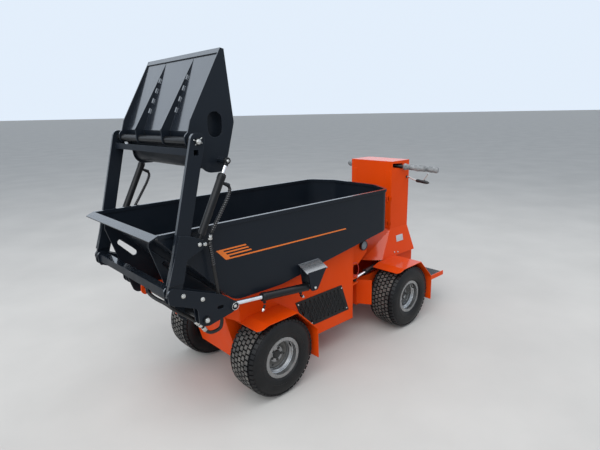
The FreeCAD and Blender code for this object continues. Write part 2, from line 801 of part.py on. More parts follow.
def foot_plates():
    x = v["shaft_x"]
    z = v["shaft_z"]
    outline = [
        (360, 704),
        (v["lift_rod_x"] - 26, v["lift_rod_z"] + 8, 18),
        (v["lift_rod_x"] + 4, v["lift_rod_z"] - 30, 24),
        (x - 46, z - 28, 20),
        (x - 12, z - 34, 30),
        (x + 34, z - 20, 30),
        (492, 672, 30),
        (628, 730, 24),
        (634, 812, 24),
    ]
    hole = (x, z, v["shaft_radius"] + v["fit_gap"])
    thick = v["foot_thick"]
    slot = [(356, 652, 8), (392, 655, 8), (392, 637, 8), (356, 634, 8)]
    outer = plate("FootOuter", "XZ_Plane", arm_outer, thick, outline, [slot], [hole])
    face = arm_outer + thick
    ring = across("LiftPinRing", v["lift_rod_x"], v["lift_rod_z"], face, face + 4, 21)
    head = across("LiftPinHead", v["lift_rod_x"], v["lift_rod_z"], face, face + 8, 13)
    inner = plate("FootInner", "XZ_Plane", foot_inner, thick, outline, circles=[hole])
    packing = box("Packing", 556, foot_inner + thick, 720, 60, "$foot_packing", 60)
    inside = fuse("InnerFoot", inner, packing)
    outside = fuse("OuterFoot", outer, ring, head)
    return group("FootPlates", *(foot for one in (inside, outside) for foot in (one, mirrored(one.Name + "Right", one))))


def lower_cross_tube():
    return box("CrossTube", 580, -foot_inner, 745, "$cross_tube", 2 * foot_inner, "$cross_tube")


def shovel_shaft():
    """Shaft with a spacer sleeve between each pair of plates on it."""
    x = v["shovel_x"]
    z = v["shovel_z"]
    end = arm_outer + v["shovel_shaft_overhang"]
    fin_face = v["fin_half"] + v["fin_thick"] / 2 + v["sleeve_gap"]
    side_face = v["shovel_half"] - v["shovel_side"] - v["sleeve_gap"]
    bar = across("ShovelShaftBar", x, z, -end, end, "$shovel_shaft_radius")
    sleeve = across("Sleeve", x, z, fin_face, side_face, "$sleeve_radius")
    middle_end = v["fin_half"] - v["fin_thick"] / 2 - v["sleeve_gap"]
    middle = across("SleeveMiddle", x, z, -middle_end, middle_end, "$sleeve_radius")
    return fuse("ShovelShaft", bar, sleeve, mirrored("SleeveRight", sleeve), middle)


node("loader_arms", arms())
node("foot_plates", foot_plates())
node("lower_cross_tube", lower_cross_tube())
node("shovel_shaft", shovel_shaft())


# Shovel: floor, back and sides as sheet, fins under the floor, bar at the cutting edge

FLOOR_TIP = (243, 1808)
FLOOR_FOOT = (410, 1454)
SHOVEL_BACK = ((366, 1280, 55), (270, 1278, 28), (244, 1350))
SHOVEL_LIP = (200, 1487, 30)


# reach from the floor's tip to each slot in a fin
FIN_SLOTS = (110, 165, 220, 275)


def along_floor(reach, out):
    """Point at reach from the floor's tip, and out from its outer face."""
    way = Vector(FLOOR_FOOT[0] - FLOOR_TIP[0], FLOOR_FOOT[1] - FLOOR_TIP[1], 0)
    way.normalize()
    return (
        FLOOR_TIP[0] + way.x * reach - way.y * out,
        FLOOR_TIP[1] + way.y * reach + way.x * out,
    )


def shovel_eye():
    """Corners of an eye round the shovel's shaft, from its front to its foot."""
    x = v["shovel_x"]
    z = v["shovel_z"]
    r = v["eye_radius"]
    return [(x + r, z + r, r - 1), (x + r, z - r, r - 1)]


def shovel_shell():
    half = v["shovel_half"] - v["shovel_side"]
    line = [FLOOR_TIP, FLOOR_FOOT, *SHOVEL_BACK]
    sheet = plate("ShovelSheet", "XZ_Plane", -half, 2 * half, band(line, -v["shovel_sheet"]))
    pocket = half - v["pocket_depth"] - v["shovel_sheet"]
    inner = plate("ShovelInnerSide", "XZ_Plane", pocket, v["shovel_sheet"], [*line, SHOVEL_LIP])
    sides = [inner, shovel_fin()]
    copies = [mirrored(side.Name + "Right", side) for side in sides]
    return fuse("ShovelShell", sheet, *sides, *copies, cutting_edge())


def shovel_sides():
    outline = [
        (228, 1806),
        along_floor(0, 4),
        (420, 1504),
        (436, 1452),
        *shovel_eye(),
        (412, 1389),
        (390, 1350),
        (377, 1267, 62),
        (262, 1265, 36),
        (232, 1345, 20),
        (193, 1487, 30),
    ]
    hole = (v["shovel_x"], v["shovel_z"], v["shovel_shaft_radius"] + v["fit_gap"])
    low = v["shovel_half"] - v["shovel_side"]
    window = [(259, 1549, 36), (335, 1528, 36), (335, 1412, 36), (259, 1433, 36)]
    side = plate("ShovelSide", "XZ_Plane", low, v["shovel_side"], outline, [window], [hole])
    eye_face = v["arm_half"] - v["tilt_rod"] - 1
    boss = across("TiltBoss", v["tilt_rod_x"], v["tilt_rod_z"], v["shovel_half"], eye_face, 15)
    return pair("ShovelSides", fuse("ShovelSideWithBoss", side, boss))


def shovel_fin():
    outline = [
        along_floor(26, 0),
        (454, 1462),
        *shovel_eye(),
        (408, 1391),
        (FLOOR_FOOT[0] + 1, 1442),
        FLOOR_FOOT,
    ]
    hole = (v["shovel_x"], v["shovel_z"], v["shovel_shaft_radius"] + v["fit_gap"])
    low = v["fin_half"] - v["fin_thick"] / 2
    return plate("ShovelFin", "XZ_Plane", low, v["fin_thick"], outline, fin_slots(), [hole])


def fin_slots():
    """Short slots beside the floor, between the fin's welds."""
    slots = []
    for reach in FIN_SLOTS:
        low = reach + 26
        slots.append([along_floor(reach, 2), along_floor(low, 2), along_floor(low, 8), along_floor(reach, 8)])
    return slots


def cutting_edge():
    half = v["shovel_half"] - v["shovel_side"]
    section = [along_floor(-2, 0), along_floor(24, 0), along_floor(24, 6), along_floor(-2, 2)]
    return plate("CuttingEdge", "XZ_Plane", -half, 2 * half, section)


node("shovel_shell", shovel_shell())
node("shovel_sides", shovel_sides())


# Cylinders: each lies in an upright plane, or the steering one in a level plane

def ram_points(base, tip):
    """Unit vector from base to tip, and a function for points on that line."""
    way = Vector(*tip) - Vector(*base)
    way.normalize()

    def at(reach):
        point = Vector(*base) + way * reach
        return (point.x, point.y, point.z)

    return way, at


def eye_at(name, centre, axis, width, radius):
    half = Vector(*axis) * (width / 2)
    middle = Vector(*centre)
    return rod(name, tuple(middle - half), tuple(middle + half), radius)


# cylinder, reach from its base pin, way of the port, end from the cylinder's axis
PORTS = (
    ("lift", 79, (0, 0, -1), 34),
    ("lift", 335, (0, 0, -1), 36),
    ("tilt", 295, (-0.8924, 0, -0.4513), 34),
)
PORT_RADIUS = 8


def ports_of(name, at):
    ports = []
    for i, (owner, reach, way, end) in enumerate(PORTS):
        if owner == name:
            start = Vector(*at(reach))
            ports.append(rod(f"{name}Port{i}", tuple(start), tuple(start + Vector(*way) * end), PORT_RADIUS))
    return ports


def ram_barrel(name, base, tip, axis, radius, mouth, rod_radius, bore_start, width, eye, neck):
    """Barrel with its base eye and ports, bored for its pin and for the rod."""
    way, at = ram_points(base, tip)
    ports = ports_of(name, at)
    name += "Barrel"
    tube = rod(name + "Tube", at(neck), at(mouth), radius)
    shank = rod(name + "Shank", at(0), at(neck), min(width / 2 - 0.5, radius))
    whole = fuse(name + "Whole", tube, shank, eye_at(name + "Eye", base, axis, width, eye), *ports)
    pin = eye_at(name + "PinHole", base, axis, width + 20, v["pin_radius"] + v["fit_gap"])
    bore = rod(name + "Bore", at(bore_start), at(mouth + 10), rod_radius + v["fit_gap"])
    return cut(name, cut(name + "Pinned", whole, pin), bore)


def ram_rod(name, base, tip, axis, rod_radius, rod_start, width, eye):
    """Rod with its eye; the pin is part of the eye, which stays clear of its seat."""
    way, at = ram_points(base, tip)
    bar = rod(name + "Bar", at(rod_start), tip, rod_radius)
    return fuse(name, bar, eye_at(name + "Eye", tip, axis, width, eye))


ALONG_Y = (0, 1, 0)
ALONG_Z = (0, 0, 1)
LIFT_BASE = (-v["lift_base_x"], v["lift_half"], v["lift_base_z"])
LIFT_TIP = (v["lift_rod_x"], v["lift_half"], v["lift_rod_z"])
TILT_BASE = (v["tilt_base_x"], v["arm_half"], v["tilt_base_z"])
TILT_TIP = (v["tilt_rod_x"], v["arm_half"], v["tilt_rod_z"])
TIP_BASE = (-v["tip_base_x"], 0, v["tip_base_z"])
TIP_TIP = (v["tip_rod_x"], 0, v["tip_rod_z"])
STEER_BASE = (behind(v["steer_base_x"]), v["steer_base_y"], v["steer_z"])
STEER_TIP = (-v["steer_pin_x"], v["steer_pin_y"], v["steer_z"])

# name, base, tip, pin axis, barrel radius, mouth, rod radius, bore's and rod's inner ends, eye width and radius,
# neck, paired
RAMS = (
    ("lift", LIFT_BASE, LIFT_TIP, ALONG_Y, v["lift_barrel"], v["lift_barrel_long"], v["lift_rod"], 56, 60, 26, 19, 27, True),
    ("tilt", TILT_BASE, TILT_TIP, ALONG_Y, v["tilt_barrel"], v["tilt_barrel_long"], v["tilt_rod"], 80, 110, 14, 16, 44, True),
    ("tip", TIP_BASE, TIP_TIP, ALONG_Y, v["tip_barrel"], v["tip_barrel_long"], v["tip_rod"], 56, 60, v["tip_eye_width"], 20, 28, False),
    ("steer", STEER_BASE, STEER_TIP, ALONG_Z, v["steer_barrel"], v["steer_barrel_long"], v["steer_rod"], 66, 195, 26, 16, 38, False),
)

for name, base, tip, axis, radius, mouth, rod_radius, bore, rod_start, width, eye, neck, paired in RAMS:
    barrel = ram_barrel(name, base, tip, axis, radius, mouth, rod_radius, bore, width, eye, neck)
    piston = ram_rod(name + "Rod", base, tip, axis, rod_radius, rod_start, width, eye)
    many = "s" if paired else ""
    node(f"{name}_barrel{many}", pair(name + "Barrels", barrel) if paired else barrel)
    node(f"{name}_rod{many}", pair(name + "Rods", piston) if paired else piston)


# Hoses: straight runs joined by arcs, points as (x, y, z)

TILT_HOSE = (
    (297.2, 410, 1215.7),
    (273, 410, 1203.5),
    (297, 410, 1155),
    (325, 410, 1103),
    (352, 410, 1053),
    (380, 410, 1010),
)
ARM_HOSE = (
    (385, 410, 1001),
    (394, 408, 958),
    (392, 405, 915),
    (386, 403, 863),
    (380, 403, 805),
    (372, 403, 745),
    (368, 403, 690),
)
FRONT_HOSE = (
    (600, 152, 744.7),
    (600, 152, 709),
    (600, 200, 699),
    (598, 252, 697),
    (590, 305, 694),
    (572, 338, 672),
    (539, 345, 641),
    (501, 345, 605),
    (462, 345, 569),
    (430, 345, 525),
    (402, 345, 484),
    (368, 345, 486),
    (343, 345, 524),
    (335, 345, 580),
    (336, 345, 638),
    (336, 379.7, 638),
)


def hose(name, points, radius):
    points = [Vector(*point) for point in points]
    edges = []
    last = points[0]
    for before, here, after in zip(points, points[1:], points[2:]):
        back = before - here
        on = after - here
        reach = 0.45 * min(back.Length, on.Length)
        back.normalize()
        on.normalize()
        half = back.getAngle(on) / 2
        middle = back + on
        start = here + back * reach
        end = here + on * reach
        edges.append(Part.LineSegment(last, start).toShape())
        last = end
        if middle.Length < 0.01:
            edges.append(Part.LineSegment(start, end).toShape())
            continue
        middle.normalize()
        bend = reach * math.tan(half)
        top = here + middle * (reach / math.cos(half) - bend)
        edges.append(Part.Arc(start, top, end).toShape())
    edges.append(Part.LineSegment(last, points[-1]).toShape())
    line = Part.Wire(edges)
    ring = Part.Wire(Part.makeCircle(radius, points[0], points[1] - points[0]))
    item = doc.addObject("Part::Feature", name)
    item.Shape = line.makePipeShell([ring], True, False)
    return item


def arm_hoses():
    """Hose down each arm with its stub to the arm's ear."""
    down = hose("ArmHose", ARM_HOSE, 7.5)
    stub = rod("ArmHoseStub", (v["tilt_base_x"] - 20.8, arm_inner - 4, 958), (394, 407, 958), 6)
    left = fuse("ArmHoseLeft", down, stub)
    return left, mirrored("ArmHoseRight", left)


node("tilt_hoses", pair("TiltHoses", hose("TiltHose", TILT_HOSE, 8)))
node("loader_hoses", group("LoaderHoses", *arm_hoses(), hose("FrontHose", FRONT_HOSE, 9)))


# Rear chassis

def rear_chassis():
    front = behind(-v["rear_front"])
    back = behind(v["rear_back"])
    axle_hole = (rear_axle_x, v["tyre_radius"], v["axle_radius"] + v["fit_gap"])
    low = v["rear_bottom"]
    outline = [
        (back, low),
        (front, low),
        (front, 385),
        (behind(-26), 385),
        (behind(24), v["hood_bottom"]),
        (back, v["hood_bottom"]),
    ]
    left = plate("RearSide", "XZ_Plane", v["rear_half"] - 8, 8, outline, circles=[axle_hole])
    inside = v["rear_half"] - 8
    right = mirrored("RearSideRight", left)
    floor = box("RearFloor", back, -inside, low, front - back, 2 * inside, 5)
    face = box("RearFace", front, -v["rear_half"], low, 6, 2 * v["rear_half"], 195)
    rear = box("RearBack", back, -inside, low, 6, 2 * inside, v["hood_bottom"] - low)
    wing_line = [(front + 3, v["rear_half"]), (front - 50, 284), (front - 55, 281), (front - 4, v["rear_half"])]
    wing = plate("Wing", "XY_Plane", 200, 180, wing_line)
    gap = 1
    knuckle_low = HINGE_LEVELS[0] + HINGE_EAR + gap
    knuckle_high = HINGE_LEVELS[1] - gap
    knuckle = rod("Knuckle", (-v["hinge_x"], 0, knuckle_low), (-v["hinge_x"], 0, knuckle_high), 36)
    beam = box("KnuckleBeam", front, -38, 262, -v["hinge_x"] - front, 76, 150)
    bore = rod("KnuckleBore", (-v["hinge_x"], 0, 200), (-v["hinge_x"], 0, 480), v["hinge_radius"] + v["fit_gap"])
    pieces = [left, right, floor, face, rear, wing, mirrored("WingRight", wing), knuckle, beam]
    x = behind(v["steer_base_x"])
    y = v["steer_base_y"]
    ear = [(x - 34, inside), (x + 34, inside), (x + 24, y - 22, 18), (x - 24, y - 22, 18)]
    for i, level in enumerate((v["steer_z"] - 22, v["steer_z"] + 14)):
        pieces.append(plate(f"SteerBaseEar{i}", "XY_Plane", level, 8, ear))
    pin = rod("SteerBasePin", (x, y, v["steer_z"] - 22), (x, y, v["steer_z"] + 22), "$pin_radius")
    return cut("RearChassis", fuse("RearWelded", *pieces, pin), bore)


node("rear_chassis", rear_chassis())


# Rear hood: flares from the tower's foot to the fenders

def hood_form(name, gap):
    """Flared box with flat sides between the foot and the head, both set in by gap."""
    half = v["hood_half"]
    tower = v["tower_half"]
    front = behind(v["tower_front"])
    back = behind(v["tower_back"])
    side_back = behind(346)
    side_front = behind(-66)
    nose = behind(-161)
    foot = [(side_back, -half), (side_front, -half), (nose, -120), (nose, 120), (side_front, half), (side_back, half)]
    head = [(back, -tower), (front, -tower), (front, tower), (back, tower)]
    a, b, c, d, e, f = (Vector(x, y, v["hood_bottom"]) for x, y in inset(foot, gap))
    g, h, i, j = (Vector(x, y, v["hood_top"]) for x, y in inset(head, gap))
    sides = (
        (a, b, c, d, e, f),
        (g, h, i, j),
        (a, b, h, g),
        (b, c, h),
        (c, d, i, h),
        (d, e, i),
        (e, f, j, i),
        (f, a, g, j),
    )
    faces = [Part.Face(Part.makePolygon([*corners, corners[0]])) for corners in sides]
    item = doc.addObject("Part::Feature", name)
    item.Shape = Part.Solid(Part.Shell(faces))
    return item


def rear_hood():
    return cut("RearHood", hood_form("HoodOuter", 0), hood_form("HoodInner", v["tower_sheet"]))


node("rear_hood", rear_hood())


# Control tower: hollow box with a slot in each side for the handlebar

SLOT = ((behind(204), 1110), (behind(86), 1128), (behind(86), 1156), (behind(204), 1149))


def control_tower():
    front = behind(v["tower_front"])
    back = behind(v["tower_back"])
    half = v["tower_half"]
    sheet = v["tower_sheet"]
    low = v["hood_top"]
    tall = v["tower_top"] - low
    outer = box("TowerOuter", back, -half, low, front - back, 2 * half, tall)
    inner = box("TowerInner", back + sheet, -half + sheet, low - 5, front - back - 2 * sheet, 2 * half - 2 * sheet, tall + 5 - sheet)
    hollow = cut("TowerHollow", outer, inner)
    slot = plate("TowerSlot", "XZ_Plane", -half - 5, 2 * half + 10, list(SLOT))
    return cut("ControlTower", hollow, slot)


node("control_tower", control_tower())

BAR_MIDDLE = (behind(114), 78, 1142)
BAR_TIP = (behind(v["grip_x"]), v["grip_half"], v["grip_z"])


def handlebar():
    left = rod("BarLeft", BAR_MIDDLE, BAR_TIP, "$bar_radius")
    middle = across("BarMiddle", BAR_MIDDLE[0], BAR_MIDDLE[2], -BAR_MIDDLE[1] - 8, BAR_MIDDLE[1] + 8, "$bar_radius")
    x, y, z = BAR_MIDDLE
    post = rod("BarPost", (x, 0, z), (x, 0, v["tower_top"] - v["tower_sheet"]), 14)
    return fuse("Handlebar", left, mirrored("BarRight", left), middle, post)


def grips():
    way, at = ram_points(BAR_TIP, BAR_MIDDLE)
    grip = rod("Grip", at(-6), at(v["grip_long"]), "$grip_radius")
    hole = rod("GripHole", at(0), at(v["grip_long"] + 20), v["bar_radius"] + v["fit_gap"])
    return pair("Grips", cut("GripSleeve", grip, hole))


def control_lever():
    """Lever on the tower's side below the left grip, with its thin stalk up to the grip."""
    face = v["tower_half"] + v["face_gap"]
    root = behind(264)
    end = behind(274)
    boss = across("LeverBoss", root, 1044, face, face + 8, 10)
    stalk = rod("LeverStalk", (root, face + 6, 1044), (end, 268, 1021), 5)
    knob = rod("LeverKnob", (end, 264, 1021), (end, 375, 1013), 11)
    trigger = rod("LeverTrigger", (end, 315, 1018), (end - 10, 361, 1076), 4)
    return fuse("ControlLever", boss, stalk, knob, trigger)


node("handlebar", handlebar())
node("handle_grips", grips())
node("control_lever", control_lever())


# Footboard, notched round the chassis

DECK_FRONT = rear_axle_x - v["tyre_radius"] - v["deck_gap"]


def footboard_frame():
    half = v["deck_half"]
    back = behind(v["deck_back"])
    low = v["deck_z"] - 22
    beside_chassis = v["rear_half"] + v["face_gap"]
    behind_chassis = behind(v["rear_back"]) - v["face_gap"]
    side = box("DeckSide", back, half - 6, low, DECK_FRONT - back, 6, 34)
    wing = box("DeckWing", DECK_FRONT - 6, beside_chassis, low, 6, half - 6 - beside_chassis, 16)
    one = fuse("DeckBars", side, wing)
    cross = box("DeckCross", behind_chassis - 6, -half + 6, low, 6, 2 * half - 12, 16)
    return fuse("FootboardFrame", one, mirrored("DeckBarsRight", one), cross)


def footboard():
    half = v["deck_half"] - 6.3
    back = behind(v["deck_back"])
    side = v["rear_half"] + v["face_gap"]
    notch = behind(v["rear_back"]) - v["face_gap"]
    outline = [
        (back, -half),
        (DECK_FRONT, -half),
        (DECK_FRONT, -side),
        (notch, -side),
        (notch, side),
        (DECK_FRONT, side),
        (DECK_FRONT, half),
        (back, half),
    ]
    return plate("Footboard", "XY_Plane", v["deck_z"] - 6, 6, outline)


node("footboard_frame", footboard_frame())
node("footboard", footboard())


# Write every node once all are sound

doc.recompute()
for item in doc.Objects:
    if {"Invalid", "Error"} & set(item.State):
        raise RuntimeError(f"{item.Label} is {item.State}")

os.makedirs("parts", exist_ok=True)
for item in NODES:
    shape = item.Shape
    if shape.isNull() or not shape.isValid():
        raise RuntimeError(f"{item.Label} has no valid shape")
    shape.exportStep(f"parts/{item.Label}.step")
    print(item.Label, len(shape.Solids), round(shape.Volume / 1e6, 3))
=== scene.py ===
import math

import bmesh
import bpy
from mathutils import Matrix, Vector

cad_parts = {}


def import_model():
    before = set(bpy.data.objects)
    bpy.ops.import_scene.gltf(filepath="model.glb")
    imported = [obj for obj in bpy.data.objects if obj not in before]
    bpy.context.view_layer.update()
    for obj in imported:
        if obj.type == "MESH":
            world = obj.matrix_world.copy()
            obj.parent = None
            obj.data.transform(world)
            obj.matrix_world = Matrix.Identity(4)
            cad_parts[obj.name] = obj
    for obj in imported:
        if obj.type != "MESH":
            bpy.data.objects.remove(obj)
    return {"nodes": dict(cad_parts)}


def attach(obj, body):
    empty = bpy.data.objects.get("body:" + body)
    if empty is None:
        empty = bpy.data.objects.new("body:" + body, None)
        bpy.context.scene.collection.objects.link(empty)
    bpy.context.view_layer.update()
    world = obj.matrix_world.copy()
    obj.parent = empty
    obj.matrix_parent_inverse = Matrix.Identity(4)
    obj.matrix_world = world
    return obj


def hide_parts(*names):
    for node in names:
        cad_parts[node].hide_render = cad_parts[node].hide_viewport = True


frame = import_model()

# Looks of the articulated site dumper, as a Blender add-on.
# Lengths in the tables are millimetres from the front axle, as in the CAD source;
# at() turns them into metres in the frame.

bl_info = {
    "name": "Site dumper looks",
    "version": (2, 0, 0),
    "blender": (4, 5, 0),
    "location": "3D Viewport > Sidebar > Dumper",
    "description": "Materials, tyres, hoses, fasteners and stage for the site dumper",
    "category": "Object",
}

FRONT_AXLE = 571
REAR_AXLE = -1206
FULL_TURN = 2 * math.pi
SIDES = (1, -1)


class DumperSettings(bpy.types.PropertyGroup):
    body_colour: bpy.props.FloatVectorProperty(
        name="Body colour",
        description="Enamel on the chassis, fenders, hood and tower",
        subtype="COLOR",
        size=3,
        default=(0.80, 0.066, 0.0015),
        min=0,
        max=1,
    )
    tub_colour: bpy.props.FloatVectorProperty(
        name="Tub colour",
        description="Enamel on the tub, the loader arms and the shovel",
        subtype="COLOR",
        size=3,
        default=(0.0075, 0.0112, 0.0170),
        min=0,
        max=1,
    )
    dust: bpy.props.FloatProperty(
        name="Dust",
        description="How much dust lies on the chassis and fenders, most of it near the ground",
        default=0.18,
        min=0,
        max=1,
        subtype="FACTOR",
    )
    edge_radius: bpy.props.FloatProperty(
        name="Edge radius",
        description="Radius of the paint over sheared and folded edges",
        default=0.0025,
        min=0.0005,
        max=0.01,
        unit="LENGTH",
    )
    tread_depth: bpy.props.FloatProperty(
        name="Tread depth",
        description="Height of a tread block",
        default=0.009,
        min=0.003,
        max=0.014,
        unit="LENGTH",
    )
    tread_rows: bpy.props.IntProperty(
        name="Blocks round the tyre", description="Tread blocks in one column", default=48, min=24, max=90
    )
    tread_columns: bpy.props.IntProperty(
        name="Blocks across the tyre", description="Columns of tread blocks", default=7, min=3, max=9
    )
    lens: bpy.props.FloatProperty(
        name="Lens", description="Focal length of the camera", default=27.44, min=10, max=120, unit="CAMERA"
    )


def at(x, y, z):
    return Vector(((x + FRONT_AXLE) / 1000, y / 1000, z / 1000))


def mm(length):
    return length / 1000


def beside(point, side):
    """The place, on one side of the machine, of a point given for its left."""
    return at(point[0], point[1] * side, point[2])


def spoke(radius, angle, y=0.0):
    """Offset on a circle about a crosswise axis."""
    return Vector((mm(radius * math.cos(angle)), mm(y), mm(radius * math.sin(angle))))


# Shader graphs

OUTPUT_KINDS = {"Base Color": "NodeSocketColor", "Normal": "NodeSocketVector"}


class Graph:
    """Short ways to add nodes; a value is a number, a colour or another node's output."""

    def __init__(self, tree):
        self.tree = tree

    def feed(self, socket, value):
        if isinstance(value, bpy.types.NodeSocket):
            self.tree.links.new(value, socket)
        else:
            socket.default_value = value

    def node(self, kind, inputs=None, **settings):
        """Outputs of a new node; its inputs are keyed by name or number."""
        made = self.tree.nodes.new(kind)
        for name, value in settings.items():
            setattr(made, name, value)
        for key, value in (inputs or {}).items():
            self.feed(made.inputs[key], value)
        return made.outputs

    def remap(self, value, low, high, to_low, to_high):
        inputs = {"Value": value, "From Min": low, "From Max": high, "To Min": to_low, "To Max": to_high}
        return self.node("ShaderNodeMapRange", inputs, clamp=True)["Result"]

    def noise(self, vector, scale, detail):
        return self.node("ShaderNodeTexNoise", {"Vector": vector, "Scale": scale, "Detail": detail})["Fac"]

    def patches(self, vector, scale, detail, *levels):
        """Noise stretched from two of its levels to two others."""
        return self.remap(self.noise(vector, scale, detail), *levels)

    def calculate(self, operation, a, b):
        return self.node("ShaderNodeMath", {0: a, 1: b}, operation=operation)[0]

    def times(self, a, b):
        return self.calculate("MULTIPLY", a, b)

    def plus(self, a, b):
        return self.calculate("ADD", a, b)

    def minus(self, a, b):
        return self.calculate("SUBTRACT", a, b)

    def blend(self, factor, a, b, mode="MIX"):
        return self.node("ShaderNodeMix", {0: factor, 6: a, 7: b}, data_type="RGBA", blend_type=mode)[2]

    def shaded(self, colour, shade):
        """The colour made lighter or darker by a factor that changes over the surface."""
        grey = self.node("ShaderNodeCombineColor", {"Red": shade, "Green": shade, "Blue": shade})[0]
        return self.blend(1.0, colour, grey, "MULTIPLY")

    def bump(self, height, strength, distance, normal=None):
        inputs = {"Height": height, "Strength": strength, "Distance": distance}
        if normal:
            inputs["Normal"] = normal
        return self.node("ShaderNodeBump", inputs)["Normal"]

    def where(self):
        return self.node("ShaderNodeTexCoord")["Object"]

    def facing_up(self):
        """How far a face looks up, from the model's own normals, so that it holds in every pose."""
        normal = self.node("ShaderNodeTexCoord")["Normal"]
        return self.node("ShaderNodeSeparateXYZ", {"Vector": normal})["Z"]

    def dust(self, where, amount):
        """More dust near the ground, broken up by noise."""
        height = self.node("ShaderNodeSeparateXYZ", {"Vector": where})["Z"]
        low = self.remap(height, 0.02, 0.62, 1.0, 0.10)
        return self.times(self.times(low, self.patches(where, 7.0, 6.0, 0.38, 0.72, 0.0, 1.0)), amount)


class Effect(Graph):
    """A shader node group with named inputs; a tuple is a colour and a number a value."""

    def __init__(self, name, inputs):
        super().__init__(bpy.data.node_groups.new(name, "ShaderNodeTree"))
        for label, default in inputs.items():
            kind = "NodeSocketColor" if isinstance(default, tuple) else "NodeSocketFloat"
            socket = self.tree.interface.new_socket(label, in_out="INPUT", socket_type=kind)
            socket.default_value = default
        self.inputs = self.tree.nodes.new("NodeGroupInput").outputs

    def give(self, outputs):
        """Put the values out through named sockets."""
        for label in outputs:
            kind = OUTPUT_KINDS.get(label, "NodeSocketFloat")
            self.tree.interface.new_socket(label, in_out="OUTPUT", socket_type=kind)
        target = self.tree.nodes.new("NodeGroupOutput")
        for label, value in outputs.items():
            self.feed(target.inputs[label], value)
        return self.tree


def enamel_group():
    """Sprayed enamel on steel: rounded edges lightened by wear and by a painted highlight, orange peel,
    rain-washed tops and dust low down.
    """
    g = Effect(
        "Sprayed enamel",
        {
            "Colour": (0.8, 0.1, 0.01, 1),
            "Edge Wear And Highlight Colour": (0.9, 0.3, 0.1, 1),
            "Gloss": 0.3,
            "Dust": 0.4,
            "Side Coat": 0.2,
            "Top Coat": 0.9,
            "Edge Radius": 0.0025,
        },
    )
    where = g.where()
    rounded = g.node("ShaderNodeBevel", {"Radius": g.inputs["Edge Radius"]}, samples=4)[0]
    flat = g.node("ShaderNodeNewGeometry")["Normal"]
    alike = g.node("ShaderNodeVectorMath", {0: rounded, 1: flat}, operation="DOT_PRODUCT")["Value"]
    # along folded and sheared edges the paint is lightened towards the edge colour: partly edge wear, partly
    # a painted highlight where the edges catch the light
    edge_patchiness = g.patches(where, 22.0, 4.0, 0.35, 0.65, 0.15, 1.0)
    edge = g.times(g.remap(alike, 0.97, 0.80, 0.0, 0.75), edge_patchiness)
    painted = g.shaded(g.inputs["Colour"], g.patches(where, 1.7, 2.0, 0.3, 0.7, 0.93, 1.05))
    with_worn_and_lit_edges = g.blend(edge, painted, g.inputs["Edge Wear And Highlight Colour"])
    specks = g.patches(where, 420.0, 1.0, 0.66, 0.74, 0.0, 0.5)
    dirt = g.times(g.dust(where, g.inputs["Dust"]), g.plus(specks, 0.45))
    smear = g.patches(where, 11.0, 4.0, 0.3, 0.75, -0.05, 0.09)
    washed = g.remap(g.facing_up(), 0.12, 0.42, 0.0, 1.0)
    reach = g.minus(g.inputs["Top Coat"], g.inputs["Side Coat"])
    coat = g.plus(g.inputs["Side Coat"], g.times(washed, reach))
    return g.give(
        {
            "Base Color": g.blend(dirt, with_worn_and_lit_edges, (0.30, 0.25, 0.20, 1)),
            "Roughness": g.plus(g.plus(g.inputs["Gloss"], smear), dirt),
            "Coat Weight": g.minus(coat, dirt),
            "Normal": g.bump(g.noise(where, 190.0, 1.0), 0.04, 0.002, rounded),
        }
    )


def rubber_group():
    """Moulded rubber with dust in patches."""
    g = Effect("Moulded rubber", {"Colour": (0.02, 0.02, 0.02, 1), "Dust": 0.4, "Grain": 300.0, "Dry": 0.55})
    where = g.where()
    patches = g.patches(where, 16.0, 7.0, 0.38, 0.68, 0.0, 1.0)
    grit = g.patches(where, 130.0, 3.0, 0.42, 0.68, 0.25, 1.0)
    dirt = g.times(g.times(patches, grit), g.inputs["Dust"])
    return g.give(
        {
            "Base Color": g.blend(dirt, g.inputs["Colour"], (0.35, 0.325, 0.29, 1)),
            "Roughness": g.plus(g.times(dirt, 0.3), g.inputs["Dry"]),
            "Normal": g.bump(g.noise(where, g.inputs["Grain"], 2.0), 0.18, 0.002),
        }
    )


def bare_metal_group():
    """Bare or silvered metal with fine scratches and smears."""
    g = Effect("Bare metal", {"Colour": (0.6, 0.6, 0.62, 1), "Polish": 0.2, "Dust": 0.2, "Metal": 1.0})
    where = g.where()
    dirt = g.dust(where, g.inputs["Dust"])
    mottled = g.shaded(g.inputs["Colour"], g.patches(where, 26.0, 5.0, 0.3, 0.7, 0.8, 1.1))
    smear = g.patches(where, 34.0, 5.0, 0.35, 0.75, -0.04, 0.14)
    stretched = g.node("ShaderNodeMapping", {"Vector": where, "Scale": (40.0, 900.0, 900.0)})[0]
    return g.give(
        {
            "Base Color": g.blend(dirt, mottled, (0.30, 0.27, 0.23, 1)),
            "Roughness": g.plus(g.plus(g.inputs["Polish"], smear), dirt),
            "Metallic": g.minus(g.inputs["Metal"], dirt),
            "Normal": g.bump(g.noise(stretched, 1.0, 1.0), 0.03, 0.0005),
        }
    )


def wrap_group():
    """Tape wound round a bar: bands along its length, with a woven grain and grubby patches."""
    g = Effect("Wound tape", {"Colour": (0.3, 0.3, 0.3, 1), "Bands": 60.0})
    where = g.where()
    leaning = g.node("ShaderNodeMapping", {"Vector": where, "Rotation": (0, 0, math.radians(31))})[0]
    bands = {"Vector": leaning, "Scale": g.inputs["Bands"], "Distortion": 0.6}
    wave = g.node("ShaderNodeTexWave", bands, wave_type="BANDS", bands_direction="Y", wave_profile="SAW")
    worn = g.patches(where, 34.0, 6.0, 0.3, 0.7, 0.45, 1.30)
    weave = g.plus(g.times(g.noise(where, 800.0, 1.0), 0.3), wave["Fac"])
    return g.give(
        {
            "Base Color": g.shaded(g.inputs["Colour"], worn),
            "Roughness": g.remap(worn, 0.45, 1.30, 0.85, 0.55),
            "Normal": g.bump(weave, 0.6, 0.002),
        }
    )


